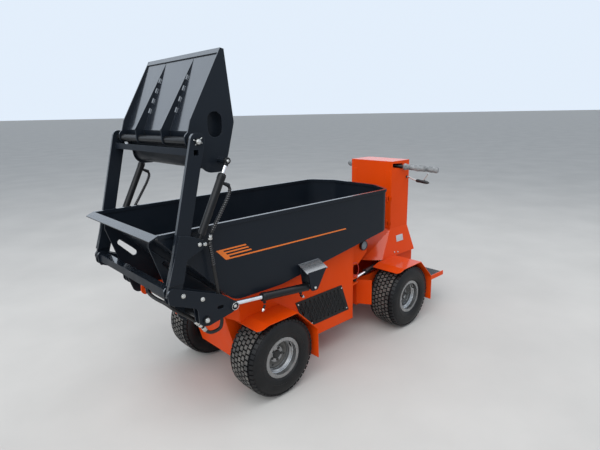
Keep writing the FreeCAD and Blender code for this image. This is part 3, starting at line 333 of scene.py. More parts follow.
def deck_group():
    """Dark deck with a raised diamond pattern, scuffed on its high points."""
    g = Effect("Treadplate", {"Colour": (0.02, 0.021, 0.023, 1), "Pitch": 34.0})
    where = g.where()
    bars = []
    for turn in (45, -45):
        lean = {"Vector": where, "Rotation": (0, 0, math.radians(turn)), "Scale": (1.0, 2.6, 0.0)}
        leaning = g.node("ShaderNodeMapping", lean)[0]
        cells = {"Vector": leaning, "Scale": g.inputs["Pitch"], "Randomness": 0.0}
        cell = g.node("ShaderNodeTexVoronoi", cells, feature="F1", distance="EUCLIDEAN")["Distance"]
        bars.append(g.remap(cell, 0.22, 0.34, 1.0, 0.0))
    raised = g.calculate("MAXIMUM", *bars)
    worn = g.times(raised, g.patches(where, 14.0, 5.0, 0.4, 0.7, 0.0, 0.6))
    return g.give(
        {
            "Base Color": g.blend(worn, g.inputs["Colour"], (0.30, 0.30, 0.31, 1)),
            "Roughness": g.remap(worn, 0.0, 1.0, 0.62, 0.34),
            "Metallic": g.remap(worn, 0.0, 1.0, 0.0, 0.9),
            "Normal": g.bump(raised, 0.7, 0.002),
        }
    )


def floor_group():
    """Pale concrete with faint mottling."""
    g = Effect("Pale floor", {"Colour": (0.60, 0.58, 0.55, 1)})
    where = g.where()
    cloud = g.patches(where, 1.3, 6.0, 0.3, 0.7, 0.93, 1.05)
    return g.give(
        {
            "Base Color": g.shaded(g.inputs["Colour"], cloud),
            "Roughness": g.remap(cloud, 0.9, 1.05, 0.8, 0.95),
            "Normal": g.bump(g.noise(where, 70.0, 4.0), 0.10, 0.004),
        }
    )


# node group: its maker, and the inputs that a material's row fills in order
GROUPS = {
    "Sprayed enamel": (enamel_group, "Gloss", "Side Coat", "Top Coat", "Edge Wear And Highlight Colour", "Dust", "Colour"),
    "Moulded rubber": (rubber_group, "Dust", "Grain", "Dry", "Colour"),
    "Bare metal": (bare_metal_group, "Polish", "Metal", "Dust", "Colour"),
    "Wound tape": (wrap_group, "Bands", "Colour"),
    "Treadplate": (deck_group, "Pitch"),
    "Pale floor": (floor_group,),
}

# lighter colours for the edges of the enamel: partly edge wear, partly a painted highlight
ORANGE_EDGE_WEAR_AND_HIGHLIGHT = (0.95, 0.16, 0.03, 1)
DARK_EDGE_WEAR_AND_HIGHLIGHT = (0.075, 0.090, 0.110, 1)
PALE_EDGE_WEAR_AND_HIGHLIGHT = (0.70, 0.70, 0.70, 1)
BLACK = (0.0065, 0.0070, 0.0080, 1)
STRIPE = (0.86, 0.185, 0.010, 1)

# material: node group, slot of the pieces that wear it, values of the group's inputs;
# what a row leaves out comes from the settings
MATERIALS = {
    "orange enamel": ("Sprayed enamel", "body_orange", 0.36, 0.02, 0.70, ORANGE_EDGE_WEAR_AND_HIGHLIGHT),
    "anthracite enamel": ("Sprayed enamel", "tub_anthracite", 0.40, 0.02, 1.0, DARK_EDGE_WEAR_AND_HIGHLIGHT, 0.10),
    "black enamel": ("Sprayed enamel", "black_paint", 0.34, 0.05, 0.15, DARK_EDGE_WEAR_AND_HIGHLIGHT, 0.05, BLACK),
    "stripe film": ("Sprayed enamel", "body_orange", 0.35, 0.1, 0.1, ORANGE_EDGE_WEAR_AND_HIGHLIGHT, 0.05, STRIPE),
    "blank plate": ("Sprayed enamel", "rim_silver", 0.30, 0.3, 0.3, PALE_EDGE_WEAR_AND_HIGHLIGHT, 0.1, (0.55, 0.57, 0.59, 1)),
    # one rim metal in three copies: as it is, darker as painted shade, brighter as a painted highlight
    "rim enamel": ("Bare metal", "rim_silver", 0.22, 0.90, 0.20, (0.34, 0.345, 0.35, 1)),
    "disc enamel": ("Bare metal", "rim_silver", 0.36, 0.70, 0.35, (0.15, 0.148, 0.142, 1)),
    "bright silver": ("Bare metal", "rim_silver", 0.18, 1.0, 0.1, (0.68, 0.69, 0.70, 1)),
    "spring wire": ("Bare metal", "black_paint", 0.30, 1.0, 0.0, (0.15, 0.15, 0.155, 1)),
    "chromed rod": ("Bare metal", "chromed_rod", 0.10, 1.0, 0.0, (0.80, 0.80, 0.81, 1)),
    "zinc plate": ("Bare metal", "chromed_rod", 0.26, 1.0, 0.05, (0.62, 0.62, 0.60, 1)),
    "cast iron": ("Bare metal", "rim_silver", 0.55, 0.5, 0.3, (0.05, 0.05, 0.05, 1)),
    "tyre rubber": ("Moulded rubber", "tyre_rubber", 0.03, 260.0, 0.44, (0.0050, 0.0053, 0.0062, 1)),
    "lighter tread top": ("Moulded rubber", "tyre_rubber", 0.75, 200.0, 0.70, (0.050, 0.049, 0.047, 1)),
    "hose rubber": ("Moulded rubber", "hose_rubber", 0.06, 700.0, 0.42, (0.0050, 0.0050, 0.0052, 1)),
    "black plastic": ("Moulded rubber", "black_plastic", 0.06, 900.0, 0.38, (0.0075, 0.0075, 0.0080, 1)),
    "red plastic": ("Moulded rubber", "body_orange", 0.05, 900.0, 0.35, (0.55, 0.030, 0.022, 1)),
    "cap face": ("Moulded rubber", "black_plastic", 0.15, 600.0, 0.35, (0.23, 0.27, 0.30, 1)),
    # near-black sheet that stands for the shade behind the side grilles
    "dark opening": ("Moulded rubber", "black_paint", 0.0, 500.0, 0.9, (0.0025, 0.0025, 0.0028, 1)),
    "grip wrap": ("Wound tape", "grip_wrap", 22.0, (0.27, 0.28, 0.285, 1)),
    "deck plate": ("Treadplate", None, 34.0),
    "pale floor": ("Pale floor", None),
}

# values of the shader's own sockets
SHADER_VALUES = {
    "orange enamel": {"Coat Roughness": 0.12, "Specular IOR Level": 0.10},
    "anthracite enamel": {"Coat Roughness": 0.14, "Coat IOR": 2.9, "Specular IOR Level": 0.14},
    "black enamel": {"Coat Roughness": 0.12, "Specular IOR Level": 0.22},
    "tyre rubber": {"Specular IOR Level": 0.26},
    "hose rubber": {"Specular IOR Level": 0.40},
}

# material for each of the CAD model's nodes that stays in sight
NODE_MATERIALS = {
    "orange enamel": (
        "front_chassis front_fenders rear_fenders side_panels rear_tank rear_chassis rear_hood control_tower"
        " footboard_frame"
    ),
    "anthracite enamel": (
        "tub_shell tub_rim loader_arms foot_plates lower_cross_tube shovel_shell shovel_sides"
    ),
    "black enamel": (
        "front_axle rear_axle side_grilles steer_barrel lift_barrels tilt_barrels tip_barrel handlebar"
        " shovel_shaft front_shaft"
    ),
    "cast iron": "engine_block",
    "rim enamel": "rim_front_left rim_front_right rim_rear_left rim_rear_right",
    "deck plate": "footboard",
}


def material(name):
    """The named material, made the first time it is asked for."""
    if name in bpy.data.materials:
        return bpy.data.materials[name]
    group, slot, *values = MATERIALS[name]
    make, *labels = GROUPS[group]
    made = bpy.data.materials.new(name)
    made.use_nodes = True
    tree = made.node_tree
    shader = tree.nodes["Principled BSDF"]
    effect = tree.nodes.new("ShaderNodeGroup")
    effect.node_tree = bpy.data.node_groups.get(group) or make()
    settings = bpy.context.scene.dumper
    chosen = {"Edge Radius": settings.edge_radius, "Dust": settings.dust}
    colours = {"orange enamel": settings.body_colour, "anthracite enamel": settings.tub_colour}
    if name in colours:
        chosen["Colour"] = (*colours[name], 1)
    chosen.update(zip(labels, values))
    for label, value in chosen.items():
        if label in effect.inputs:
            effect.inputs[label].default_value = value
    for label, value in SHADER_VALUES.get(name, {}).items():
        shader.inputs[label].default_value = value
    for output in effect.outputs:
        tree.links.new(output, shader.inputs[output.name])
    return made


# Mesh helpers


def placed(name, data, finishes, body, *replaces, slot=None):
    """An object with its materials that rides on a body; the CAD nodes that it replaces are hidden."""
    for finish in finishes:
        data.materials.append(material(finish))
    made = bpy.data.objects.new(name, data)
    bpy.context.scene.collection.objects.link(made)
    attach(made, body)
    if replaces:
        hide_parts(*replaces)


def piece(name, mesh, finish, body, *replaces, angle=35):
    """Turn a bmesh into a smooth-shaded object that rides on a body."""
    data = bpy.data.meshes.new(name)
    bmesh.ops.recalc_face_normals(mesh, faces=mesh.faces)
    mesh.to_mesh(data)
    mesh.free()
    data.shade_smooth()
    data.set_sharp_from_angle(angle=math.radians(angle))
    placed(name, data, [finish] if isinstance(finish, str) else finish, body, *replaces)


def along(direction):
    """Rotation that turns +Z into the direction."""
    return Vector((0, 0, 1)).rotation_difference(Vector(direction)).to_matrix().to_4x4()


def skin_rings(mesh, rows, closed=False):
    """Faces between rings of vertices, and over the first and last of them unless they close up."""
    pairs = list(zip(rows, rows[1:]))
    if closed:
        pairs.append((rows[-1], rows[0]))
    for low, high in pairs:
        for i in range(len(low)):
            j = (i + 1) % len(low)
            mesh.faces.new((low[i], low[j], high[j], high[i]))
    if not closed:
        mesh.faces.new(rows[-1])
        mesh.faces.new(rows[0][::-1])


def prism(mesh, corners, foot, direction, height, inset=0.0):
    """Extrude a flat outline, given in the plane across the direction, with a chamfered top."""
    turn = along(direction)
    rings = [(0.0, 0.0), (height - inset, 0.0), (height, inset)] if inset else [(0.0, 0.0), (height, 0.0)]
    middle = sum((Vector((*corner, 0)) for corner in corners), Vector()) / len(corners)
    rows = []
    for level, shrink in rings:
        row = []
        for corner in corners:
            flat = Vector((*corner, 0)) - middle
            flat *= max(flat.length - shrink, 0) / flat.length if flat.length else 1
            row.append(mesh.verts.new(Vector(foot) + turn @ (middle + flat + Vector((0, 0, level)))))
        rows.append(row)
    skin_rings(mesh, rows)


def sheet(mesh, corners, levels, place):
    """Thin plate over flat corners; a level is how far it lifts and how far its edge draws in."""
    middle = [sum(axis) / len(corners) for axis in zip(*corners)]
    rows = []
    for lift, shrink in levels:
        drawn = [[c + math.copysign(shrink, m - c) for c, m in zip(corner, middle)] for corner in corners]
        rows.append([mesh.verts.new(place(a, b, lift)) for a, b in drawn])
    skin_rings(mesh, rows)


def ring_of(count, radius, start=0.0):
    turns = [start + FULL_TURN * i / count for i in range(count)]
    return [(radius * math.cos(turn), radius * math.sin(turn)) for turn in turns]


def turned(mesh, profile, middle, axis=(0, 1, 0), segments=64, closed=False):
    """Surface of revolution; the profile is (distance along the axis, radius) in mm."""
    turn = along(axis)
    rows = []
    for reach, radius in profile:
        places = [Vector((x, y, mm(reach))) for x, y in ring_of(segments, mm(radius))]
        rows.append([mesh.verts.new(Vector(middle) + turn @ place) for place in places])
    skin_rings(mesh, rows, closed)


def shifted(profile, start):
    return [(start + reach, radius) for reach, radius in profile]


# a bolt's parts as shares of its size
WASHER_WIDE = 1.05
WASHER_HIGH = 0.16
HEAD_WIDE = 0.90
HEAD_HIGH = 0.52
THREAD_END = ((0, 0.42), (0.16, 0.42), (0.24, 0.30))


def bolt(mesh, foot, direction, size):
    """Washer and hexagon head, with the rounded end of the thread standing out."""
    way = Vector(direction).normalized()
    foot = Vector(foot)
    washer = mm(size * WASHER_HIGH)
    head = mm(size * HEAD_HIGH)
    prism(mesh, ring_of(24, mm(size * WASHER_WIDE)), foot, way, washer, mm(size * 0.04))
    prism(mesh, ring_of(6, mm(size * HEAD_WIDE)), foot + way * washer, way, head, mm(size * 0.10))
    end = [(size * reach, size * radius) for reach, radius in THREAD_END]
    turned(mesh, end, foot + way * (washer + head), way, 14)


def tube(mesh, points, radii, segments=12):
    """Round bar along points in metres; radii is one radius or one for each point."""
    if not isinstance(radii, list):
        radii = [radii] * len(points)
    rows = []
    for i, point in enumerate(points):
        before = points[max(i - 1, 0)]
        after = points[min(i + 1, len(points) - 1)]
        turn = along(Vector(after) - Vector(before))
        corners = [Vector((*corner, 0)) for corner in ring_of(segments, radii[i])]
        rows.append([mesh.verts.new(Vector(point) + turn @ corner) for corner in corners])
    skin_rings(mesh, rows)


def between(a, b, share):
    return a + (b - a) * share


# Tyres

WHEEL_HALF = 332
TYRE_RADIUS = 228.5
TREAD_HALF = 85
CAD_TREAD = 7.7
TREAD_FROM = 190
BLOCK_WIDE = 23.5
BLOCK_LONG = 0.80
EDGE_WIDE = 20
EDGE_DROP = 1.5
EDGE_LEAN = 0.45

# wheel, axle's x, side of the machine
WHEELS = (
    ("front_left", 0, 1),
    ("front_right", 0, -1),
    ("rear_left", REAR_AXLE, 1),
    ("rear_right", REAR_AXLE, -1),
)

# carcass from the bead to the middle of the crown: (distance from the tyre's centreline, radius)
CARCASS = (
    (85, 102.0), (85.5, 116.8), (91, 117.4), (96, 121), (99, 124), (101, 123.5), (104.2, 132),
    (106.4, 146), (106.9, 150), (105.8, 151.2), (106.6, 160), (106.2, 172), (104.5, 185),
    (101.5, 196), (96, 206), (88, 213.2), (76, 217.4), (55, 219.6), (28, 220.6), (0, 220.8),
)


def crown_at(y, depth):
    """Radius of the carcass under the tread at y from its middle."""
    outer = [(point, radius - (depth - CAD_TREAD)) for point, radius in CARCASS if radius > TREAD_FROM]
    for (y_high, r_low), (y_low, r_high) in zip(outer, outer[1:]):
        if y_low <= abs(y) <= y_high:
            share = (y_high - abs(y)) / (y_high - y_low)
            return r_low + (r_high - r_low) * share
    return outer[0][1]


def tread_block(mesh, middle, y, angle, wide, long, depth, lean):
    """A block with chamfered edges that stands on the carcass; an upright one has a lighter top."""
    rows = []
    for level, shrink in ((-2.0, -0.8), (depth - 1.2, 0.3), (depth, 1.2)):
        row = []
        for side, end in ((-1, -1), (1, -1), (1, 1), (-1, 1)):
            off = y + side * (wide / 2 - shrink)
            radius = crown_at(off, depth) + level * math.cos(lean)
            reach = end * (long / 2 - shrink) / TYRE_RADIUS
            row.append(mesh.verts.new(middle + spoke(radius, angle + reach, off + level * math.sin(lean))))
        rows.append(row)
    for low, high in zip(rows, rows[1:]):
        for i in range(4):
            j = (i + 1) % 4
            mesh.faces.new((low[i], low[j], high[j], high[i]))
    # upright blocks take the lighter rubber on their tops; the leaning blocks at the shoulders keep the dark
    # rubber
    mesh.faces.new(rows[-1]).material_index = 0 if lean else 1


class DUMPER_OT_tyres(bpy.types.Operator):
    """Put a carcass with staggered tread blocks in place of each plain tyre"""

    bl_idname = "dumper.tyres"
    bl_label = "Tyres"

    def execute(self, context):
        settings = context.scene.dumper
        depth = settings.tread_depth * 1000
        columns = settings.tread_columns
        count = settings.tread_rows
        pitch = 2 * TREAD_HALF / (columns - 1)
        long = FULL_TURN * TYRE_RADIUS / count * BLOCK_LONG
        profile = [(y, r - (depth - CAD_TREAD) if r > TREAD_FROM else r) for y, r in CARCASS]
        section = profile + [(-y, r) for y, r in profile[-2::-1]]
        for wheel, x, side in WHEELS:
            mesh = bmesh.new()
            middle = at(x, WHEEL_HALF * side, TYRE_RADIUS)
            turned(mesh, section, middle, segments=96, closed=True)
            for column in range(columns):
                y = -TREAD_HALF + pitch * column
                shape = (BLOCK_WIDE, long, depth, 0.0)
                if column in (0, columns - 1):
                    shape = (EDGE_WIDE, long, depth - EDGE_DROP, math.copysign(EDGE_LEAN, y))
                for row in range(count):
                    tread_block(mesh, middle, y, FULL_TURN * (row + 0.5 * (column % 2)) / count, *shape)
            finishes = ["tyre rubber", "lighter tread top"]
            piece("tread_" + wheel, mesh, finishes, "wheel_" + wheel, "tyre_" + wheel, angle=28)
        return {"FINISHED"}


# Wheels' fittings

RIM_EDGE = WHEEL_HALF + 93
DISC_FACE = RIM_EDGE - 66
HUB_FACE = DISC_FACE + 10
# radius of the circle of black discs painted as shade in the disc's holes
HOLE_SHADE_CIRCLE = 66
BOLT_CIRCLE = 34.5

# rolled edges of the rim, in a brighter copy of the rim's metal as a painted highlight: depth behind the
# edge, radius, half thickness
RIM_ROLLS = ((4.0, 113.8, 3.0), (30.5, 96.0, 3.2), (45, 90.5, 1.6), (60, 85.0, 1.8))

# sections through the wheel: distance from the rim's edge, the disc's or the hub's face, and radius
RIM_BARREL = (
    (-1.5, 114.0), (-3.0, 109.6), (-6.0, 107.4), (-12, 106.2), (-20, 103.6), (-25, 100.4),
    (-28, 97.4), (-28, 98.6), (-1.5, 115.2),
)
DISC = ((9.6, 45), (1.2, 58.6), (0.8, 70), (3.0, 76), (0.4, 83.5), (-1.0, 80), (-1.0, 45))
HUB_CAP = ((-2, 25), (3, 25), (7, 22), (8.5, 14), (9, 4))

# the valve's stem: step from its foot, radius
VALVE = ((0, 0, 0, 4.4), (6, 16, -3, 3.6), (9, 26, -5, 3.2))


class DUMPER_OT_wheel_fittings(bpy.types.Operator):
    """Add the disc and barrel in a darker copy of the rim's metal as painted shade, the rolled edges in a
    brighter copy as a painted highlight, and the hub cap, bolts and valve of each wheel
    """

    bl_idname = "dumper.wheel_fittings"
    bl_label = "Wheel fittings"

    def execute(self, context):
        for wheel, x, side in WHEELS:
            body = "wheel_" + wheel
            centre = at(x, 0, TYRE_RADIUS)
            way = (0, side, 0)
            # the disc and the rim's barrel wear a darker copy of the rim's metal: painted shade
            disc = bmesh.new()
            turned(disc, shifted(DISC, DISC_FACE), centre, way, 64, True)
            piece("disc_" + wheel, disc, "disc enamel", body)
            # the rolled edges wear a brighter copy of the rim's metal: a painted highlight
            rolls = bmesh.new()
            for reach, radius, thick in RIM_ROLLS:
                section = [(RIM_EDGE - reach + thick * b, radius + thick * a) for a, b in ring_of(10, 1.0)]
                turned(rolls, section, centre, way, 72, True)
            piece("rim_rolls_" + wheel, rolls, "bright silver", body)
            barrel = bmesh.new()
            turned(barrel, shifted(RIM_BARREL, RIM_EDGE), centre, way, 72, True)
            piece("rim_barrel_" + wheel, barrel, "disc enamel", body, angle=50)
            cap = bmesh.new()
            turned(cap, shifted(HUB_CAP, HUB_FACE), centre, way, 32)
            # four flat black discs on the disc's face: painted shade where the disc's holes show dark
            for i in range(4):
                spot = spoke(HOLE_SHADE_CIRCLE, math.radians(20) + FULL_TURN * i / 4, (DISC_FACE + 0.9) * side)
                prism(cap, ring_of(18, mm(6.5)), centre + spot, way, mm(0.5), mm(0.2))
            piece("hub_cap_" + wheel, cap, "black plastic", body)
            bolts = bmesh.new()
            for i in range(5):
                spot = spoke(BOLT_CIRCLE, math.radians(45) + FULL_TURN * i / 5, HUB_FACE * side)
                bolt(bolts, centre + spot, way, 8)
            piece("wheel_bolts_" + wheel, bolts, "cast iron", body)
            valve = bmesh.new()
            foot = at(x - 78, (WHEEL_HALF + 60) * side, TYRE_RADIUS + 44)
            stem = [foot + Vector((mm(a), mm(b * side), mm(c))) for a, b, c, radius in VALVE]
            tube(valve, stem, [mm(radius) for *step, radius in VALVE], 12)
            piece("valve_" + wheel, valve, "black plastic", body)
        return {"FINISHED"}


# Hoses

# hose: radius, body, sides, and the route of the CAD source as control points of a smooth curve
HOSES = {
    "tilt": (
        7, "tilt_barrel", SIDES, (297.2, 410, 1215.7), (270, 410, 1203.5), (289, 410, 1155),
        (324, 410, 1103), (357, 410, 1053), (391, 410, 1005),
    ),
    "arm": (
        7.5, "loader", SIDES, (396, 410, 996), (401, 408, 955), (392, 405, 915), (386, 403, 863),
        (380, 403, 805), (372, 403, 745), (368, 403, 690),
    ),
    "stub": (6, "loader", SIDES, (440.2, 398.5, 958), (417, 402.5, 957), (401, 407, 955)),
    "front": (
        9, "loader", (1,), (600, 152, 744.7), (600, 152, 709), (600, 200, 699), (598, 252, 697),
        (590, 305, 694), (572, 338, 672), (539, 345, 641), (501, 345, 612), (462, 345, 572),
        (430, 345, 534), (399, 345, 490), (346, 345, 489), (323, 345, 506), (321, 345, 575),
        (331, 345, 634), (336, 379.7, 638),
    ),
}

# piece, hose, material, node that it replaces
HOSE_LINES = (
    ("tilt_hose_lines", "tilt", "hose rubber", "tilt_hoses"),
    ("arm_hose_lines", "arm", "hose rubber", "loader_hoses"),
    ("arm_hose_stubs", "stub", "black plastic", "loader_hoses"),
    ("front_hose_line", "front", "hose rubber", "loader_hoses"),
)

# hose, distance of the sleeve along it, material, whether it has a nut
FERRULES = (
    ("tilt", 4, "black enamel", True),
    ("arm", 5, "zinc plate", True),
    ("arm", 300, "black enamel", True),
    ("stub", 10, "zinc plate", True),
    ("front", 22, "black enamel", True),
    ("front", 372, "zinc plate", True),
    ("front", 402, "zinc plate", False),
    ("front", 430, "zinc plate", True),
    ("front", 610, "black enamel", True),
)

# a crimped sleeve: distance along it, height over the hose
SLEEVE = ((0, 0), (1, 1.8), (6, 2.4), (7, 1.6), (9, 2.4), (15, 1.8), (16, 0))
SLEEVE_MIDDLE = 8

# spring guards: piece, hose, start, end (from the hose's end if below zero)
GUARDS = (("hose_guards", "tilt", 34, -8), ("arm_hose_guards", "arm", 24, 150))
GUARD_WIRE = 1.4
GUARD_GAP = 1.2
GUARD_PITCH = 10.5


def hose_curve(name, route, sides, radius):
    """Curve data with a smooth spline on each side."""
    data = bpy.data.curves.new(name, "CURVE")
    data.dimensions = "3D"
    data.bevel_depth = mm(radius)
    data.bevel_resolution = 4
    data.use_fill_caps = True
    data.resolution_u = 10
    for side in sides:
        spline = data.splines.new("NURBS")
        spline.points.add(len(route) - 1)
        for target, point in zip(spline.points, route):
            target.co = (*beside(point, side), 1)
        spline.order_u = 3
        spline.use_endpoint_u = True
    return data


def line_of(route, side=1):
    """Points read from the route's smooth curve."""
    data = hose_curve("line", route, (side,), 0)
    holder = bpy.data.objects.new("line", data)
    mesh = bpy.data.meshes.new_from_object(holder)
    points = [vertex.co.copy() for vertex in mesh.vertices]
    bpy.data.objects.remove(holder)
    bpy.data.curves.remove(data)
    bpy.data.meshes.remove(mesh)
    return points


def point_along(points, distance):
    """Place and direction at a distance along a line of points."""
    for a, b in zip(points, points[1:]):
        step = (b - a).length
        if distance <= step:
            return a + (b - a) * (distance / step), (b - a).normalized()
        distance -= step
    return points[-1], (points[-1] - points[-2]).normalized()


def helix(mesh, points, start, end, radius):
    """Round wire wound on a hose from start to end along its line."""
    turns = (end - start) / mm(GUARD_PITCH)
    coil = []
    count = int(turns * 10)
    for i in range(count + 1):
        share = i / count
        place, way = point_along(points, start + (end - start) * share)
        angle = FULL_TURN * turns * share
        coil.append(place + along(way) @ Vector((math.cos(angle), math.sin(angle), 0)) * radius)
    tube(mesh, coil, mm(GUARD_WIRE), 6)


def ferrule(mesh, place, way, radius, nut):
    """Crimped sleeve, with its hexagon nut where it has one, on a hose at a place."""
    profile = [(reach - SLEEVE_MIDDLE, radius + high) for reach, high in SLEEVE]
    turned(mesh, profile, place, way, 20)
    if nut:
        prism(mesh, ring_of(6, mm(radius + 3.2)), place + way * mm(8), way, mm(8), mm(1.2))


class DUMPER_OT_hoses(bpy.types.Operator):
    """Run the hydraulic hoses as smooth curves"""

    bl_idname = "dumper.hoses"
    bl_label = "Hoses"

    def execute(self, context):
        for name, hose, finish, node in HOSE_LINES:
            radius, body, sides, *route = HOSES[hose]
            placed(name, hose_curve(name, route, sides, radius), [finish], body, node, slot="hose_rubber")
        return {"FINISHED"}


class DUMPER_OT_hose_guards(bpy.types.Operator):
    """Wind spring guards on the loader's hoses"""

    bl_idname = "dumper.hose_guards"
    bl_label = "Hose guards"

    def execute(self, context):
        for name, hose, start, end in GUARDS:
            radius, body, sides, *route = HOSES[hose]
            mesh = bmesh.new()
            for side in sides:
                points = line_of(route, side)
                whole = sum((b - a).length for a, b in zip(points, points[1:]))
                stop = whole + mm(end) if end < 0 else mm(end)
                helix(mesh, points, mm(start), stop, mm(radius + GUARD_GAP))
            piece(name, mesh, "spring wire", body)
        return {"FINISHED"}


class DUMPER_OT_hose_fittings(bpy.types.Operator):
    """Crimp sleeves and nuts on the hoses' ends"""

    bl_idname = "dumper.hose_fittings"
    bl_label = "Hose fittings"

    def execute(self, context):
        meshes = {}
        for hose, distance, finish, nut in FERRULES:
            radius, body, sides, *route = HOSES[hose]
            mesh = meshes.setdefault((body, finish), bmesh.new())
            for side in sides:
                place, way = point_along(line_of(route, side), mm(distance))
                ferrule(mesh, place, way, radius, nut)
        for (body, finish), mesh in meshes.items():
            piece("fittings_" + body + "_" + finish.split()[0], mesh, finish, body)
        return {"FINISHED"}


# Hydraulic cylinders

# name: base pin, rod's pin, barrel radius, reach of its mouth, rod radius, eye width, eye radius,
# start of the rod inside the barrel, sides
CYLINDERS = {
    "lift": ((-238, 403, 573), (298, 403, 629), 22, 352, 11, 26, 19, 60, SIDES),
    "tilt": ((461, 410, 968), (283, 410, 1320), 18, 330, 9, 14, 16, 110, SIDES),
    "tip": ((-150, 0, 300), (180, 0, 580), 25, 390, 14, 30, 20, 60, (1,)),
    "steer": ((-1292, 140, 424), (-800, 250, 424), 18, 345, 9, 26, 16, 195, (1,)),
}
ROD_NODES = {"lift": "lift_rods", "tilt": "tilt_rods", "tip": "tip_rod", "steer": "steer_rod"}
PIN_RADIUS = 10.1


class DUMPER_OT_cylinder_rods(bpy.types.Operator):
    """Make each cylinder's chromed rod with its black eye, and the pins of the tilt rods"""

    bl_idname = "dumper.cylinder_rods"
    bl_label = "Cylinder rods"

    def execute(self, context):
        for name, (base, tip, barrel, mouth, rod, wide, eye, start, sides) in CYLINDERS.items():
            axis = (0, 0, 1) if name == "steer" else (0, 1, 0)
            shaft = bmesh.new()
            eyes = bmesh.new()
            for side in sides:
                low = beside(base, side)
                high = beside(tip, side)
                way = (high - low).normalized()
                end = (high - low).length * 1000 - eye + 1
                bar = [(start, rod - 1), (start + 1, rod), (end - 1, rod), (end, rod - 0.6)]
                turned(shaft, bar, low, way, 32)
                collar = [(end - 9, rod + 0.2), (end - 7, rod + 2.6), (end, rod + 2.6), (end + 3, rod - 1)]
                turned(eyes, collar, low, way, 24)
                half = wide / 2
                outer = [(-half, eye - 1.5), (-half + 1.5, eye), (half - 1.5, eye), (half, eye - 1.5)]
                bore = [(half, PIN_RADIUS + 1), (half - 1, PIN_RADIUS)]
                bore += [(-reach, radius) for reach, radius in bore[::-1]]
                turned(eyes, outer + bore, high, axis, 40, True)
            body = name + "_rod"
            piece(name + "_rod_chrome", shaft, "chromed rod", body, ROD_NODES[name])
            piece(name + "_rod_eyes", eyes, "black enamel", body, ROD_NODES[name])
            if name == "tilt":
                pins = bmesh.new()
                for side in sides:
                    out = Vector(axis) * side
                    bolt(pins, beside(tip, side) + out * mm(wide / 2), out, 7)
                piece(name + "_rod_pins", pins, "zinc plate", body)
        return {"FINISHED"}


class DUMPER_OT_cylinder_glands(bpy.types.Operator):
    """Add the gland nut and base weld of each cylinder"""

    bl_idname = "dumper.cylinder_glands"
    bl_label = "Cylinder glands"

    def execute(self, context):
        for name, (base, tip, barrel, mouth, rod, wide, eye, start, sides) in CYLINDERS.items():
            nut = [(-26, barrel - 1), (-26, barrel + 1.6), (-6, barrel + 1.6), (-4, barrel)]
            face = [(0.6, barrel - 1), (0.6, rod + 4), (4.5, rod + 3), (4.5, rod + 0.6), (-10, rod + 0.6)]
            mesh = bmesh.new()
            for side in sides:
                low = beside(base, side)
                way = (beside(tip, side) - low).normalized()
                turned(mesh, shifted(nut + face, mouth), low, way, 36, True)
                weld = [low + way * mm(eye + 9 + 2.2 * math.cos(angle)) for angle in (3.1, 1.6, 0)]
                tube(mesh, weld, [mm(barrel - 1), mm(barrel + 2.0), mm(barrel - 1)], 28)
            piece(name + "_gland", mesh, "black enamel", name + "_barrel")
        return {"FINISHED"}


# under the lift cylinders: place of the port, end of the elbow
LIFT_UNIONS = (((95.2, 403, 562), (108, 405, 541)), ((-159.4, 403, 540), (-172, 405, 530)))


class DUMPER_OT_lift_unions(bpy.types.Operator):
    """Add the elbows and unions under the lift cylinders"""

    bl_idname = "dumper.lift_unions"
    bl_label = "Lift unions"

    def execute(self, context):
        elbows = bmesh.new()
        nuts = bmesh.new()
        for side in SIDES:
            for port, end in LIFT_UNIONS:
                start = beside(port, side)
                stop = beside(end, side)
                tube(elbows, [start, between(start, stop, 0.5) - Vector((0, 0, mm(3))), stop], mm(6), 14)
                way = (stop - start).normalized()
                prism(nuts, ring_of(6, mm(9)), stop - way * mm(4), way, mm(9), mm(1.5))
                turned(nuts, [(4, 6), (10, 6), (11, 4.5)], stop, way, 16)
        piece("lift_elbows", elbows, "black enamel", "lift_barrel")
        piece("lift_unions", nuts, "zinc plate", "lift_barrel")
        return {"FINISHED"}


# Stripes on the tub's sides

TUB_SIDE = 365.15
STRIPE_STEP = 0.03

# bars from the slanted block at the front: (x, z) of the front top and the rear top, height
BARS = (
    ((343, 899), (171, 899), 7.5),
    ((328, 884), (157, 884), 7.5),
    ((312, 868), (140, 868), 7.5),
    ((297, 851), (-577, 840), 7.5),
)
BAR_BLOCK = ((343, 899), (290, 843.5), (258, 843.5), (311, 899))


class DUMPER_OT_stripes(bpy.types.Operator):
    """Lay the orange stripes on both sides of the tub"""

    bl_idname = "dumper.stripes"
    bl_label = "Stripes"

    def execute(self, context):
        outlines = [BAR_BLOCK]
        for (x, z), (end_x, end_z), high in BARS:
            outlines.append(((x, z), (x - high, z - high), (end_x - high, end_z - high), (end_x, end_z)))
        mesh = bmesh.new()
        for side in SIDES:
            for i, outline in enumerate(outlines):
                face = (TUB_SIDE + STRIPE_STEP * i) * side
                mesh.faces.new([mesh.verts.new(at(x, face, z)) for x, z in outline])
        piece("tub_stripes", mesh, "stripe film", "tub")
        return {"FINISHED"}


# Fasteners and pins

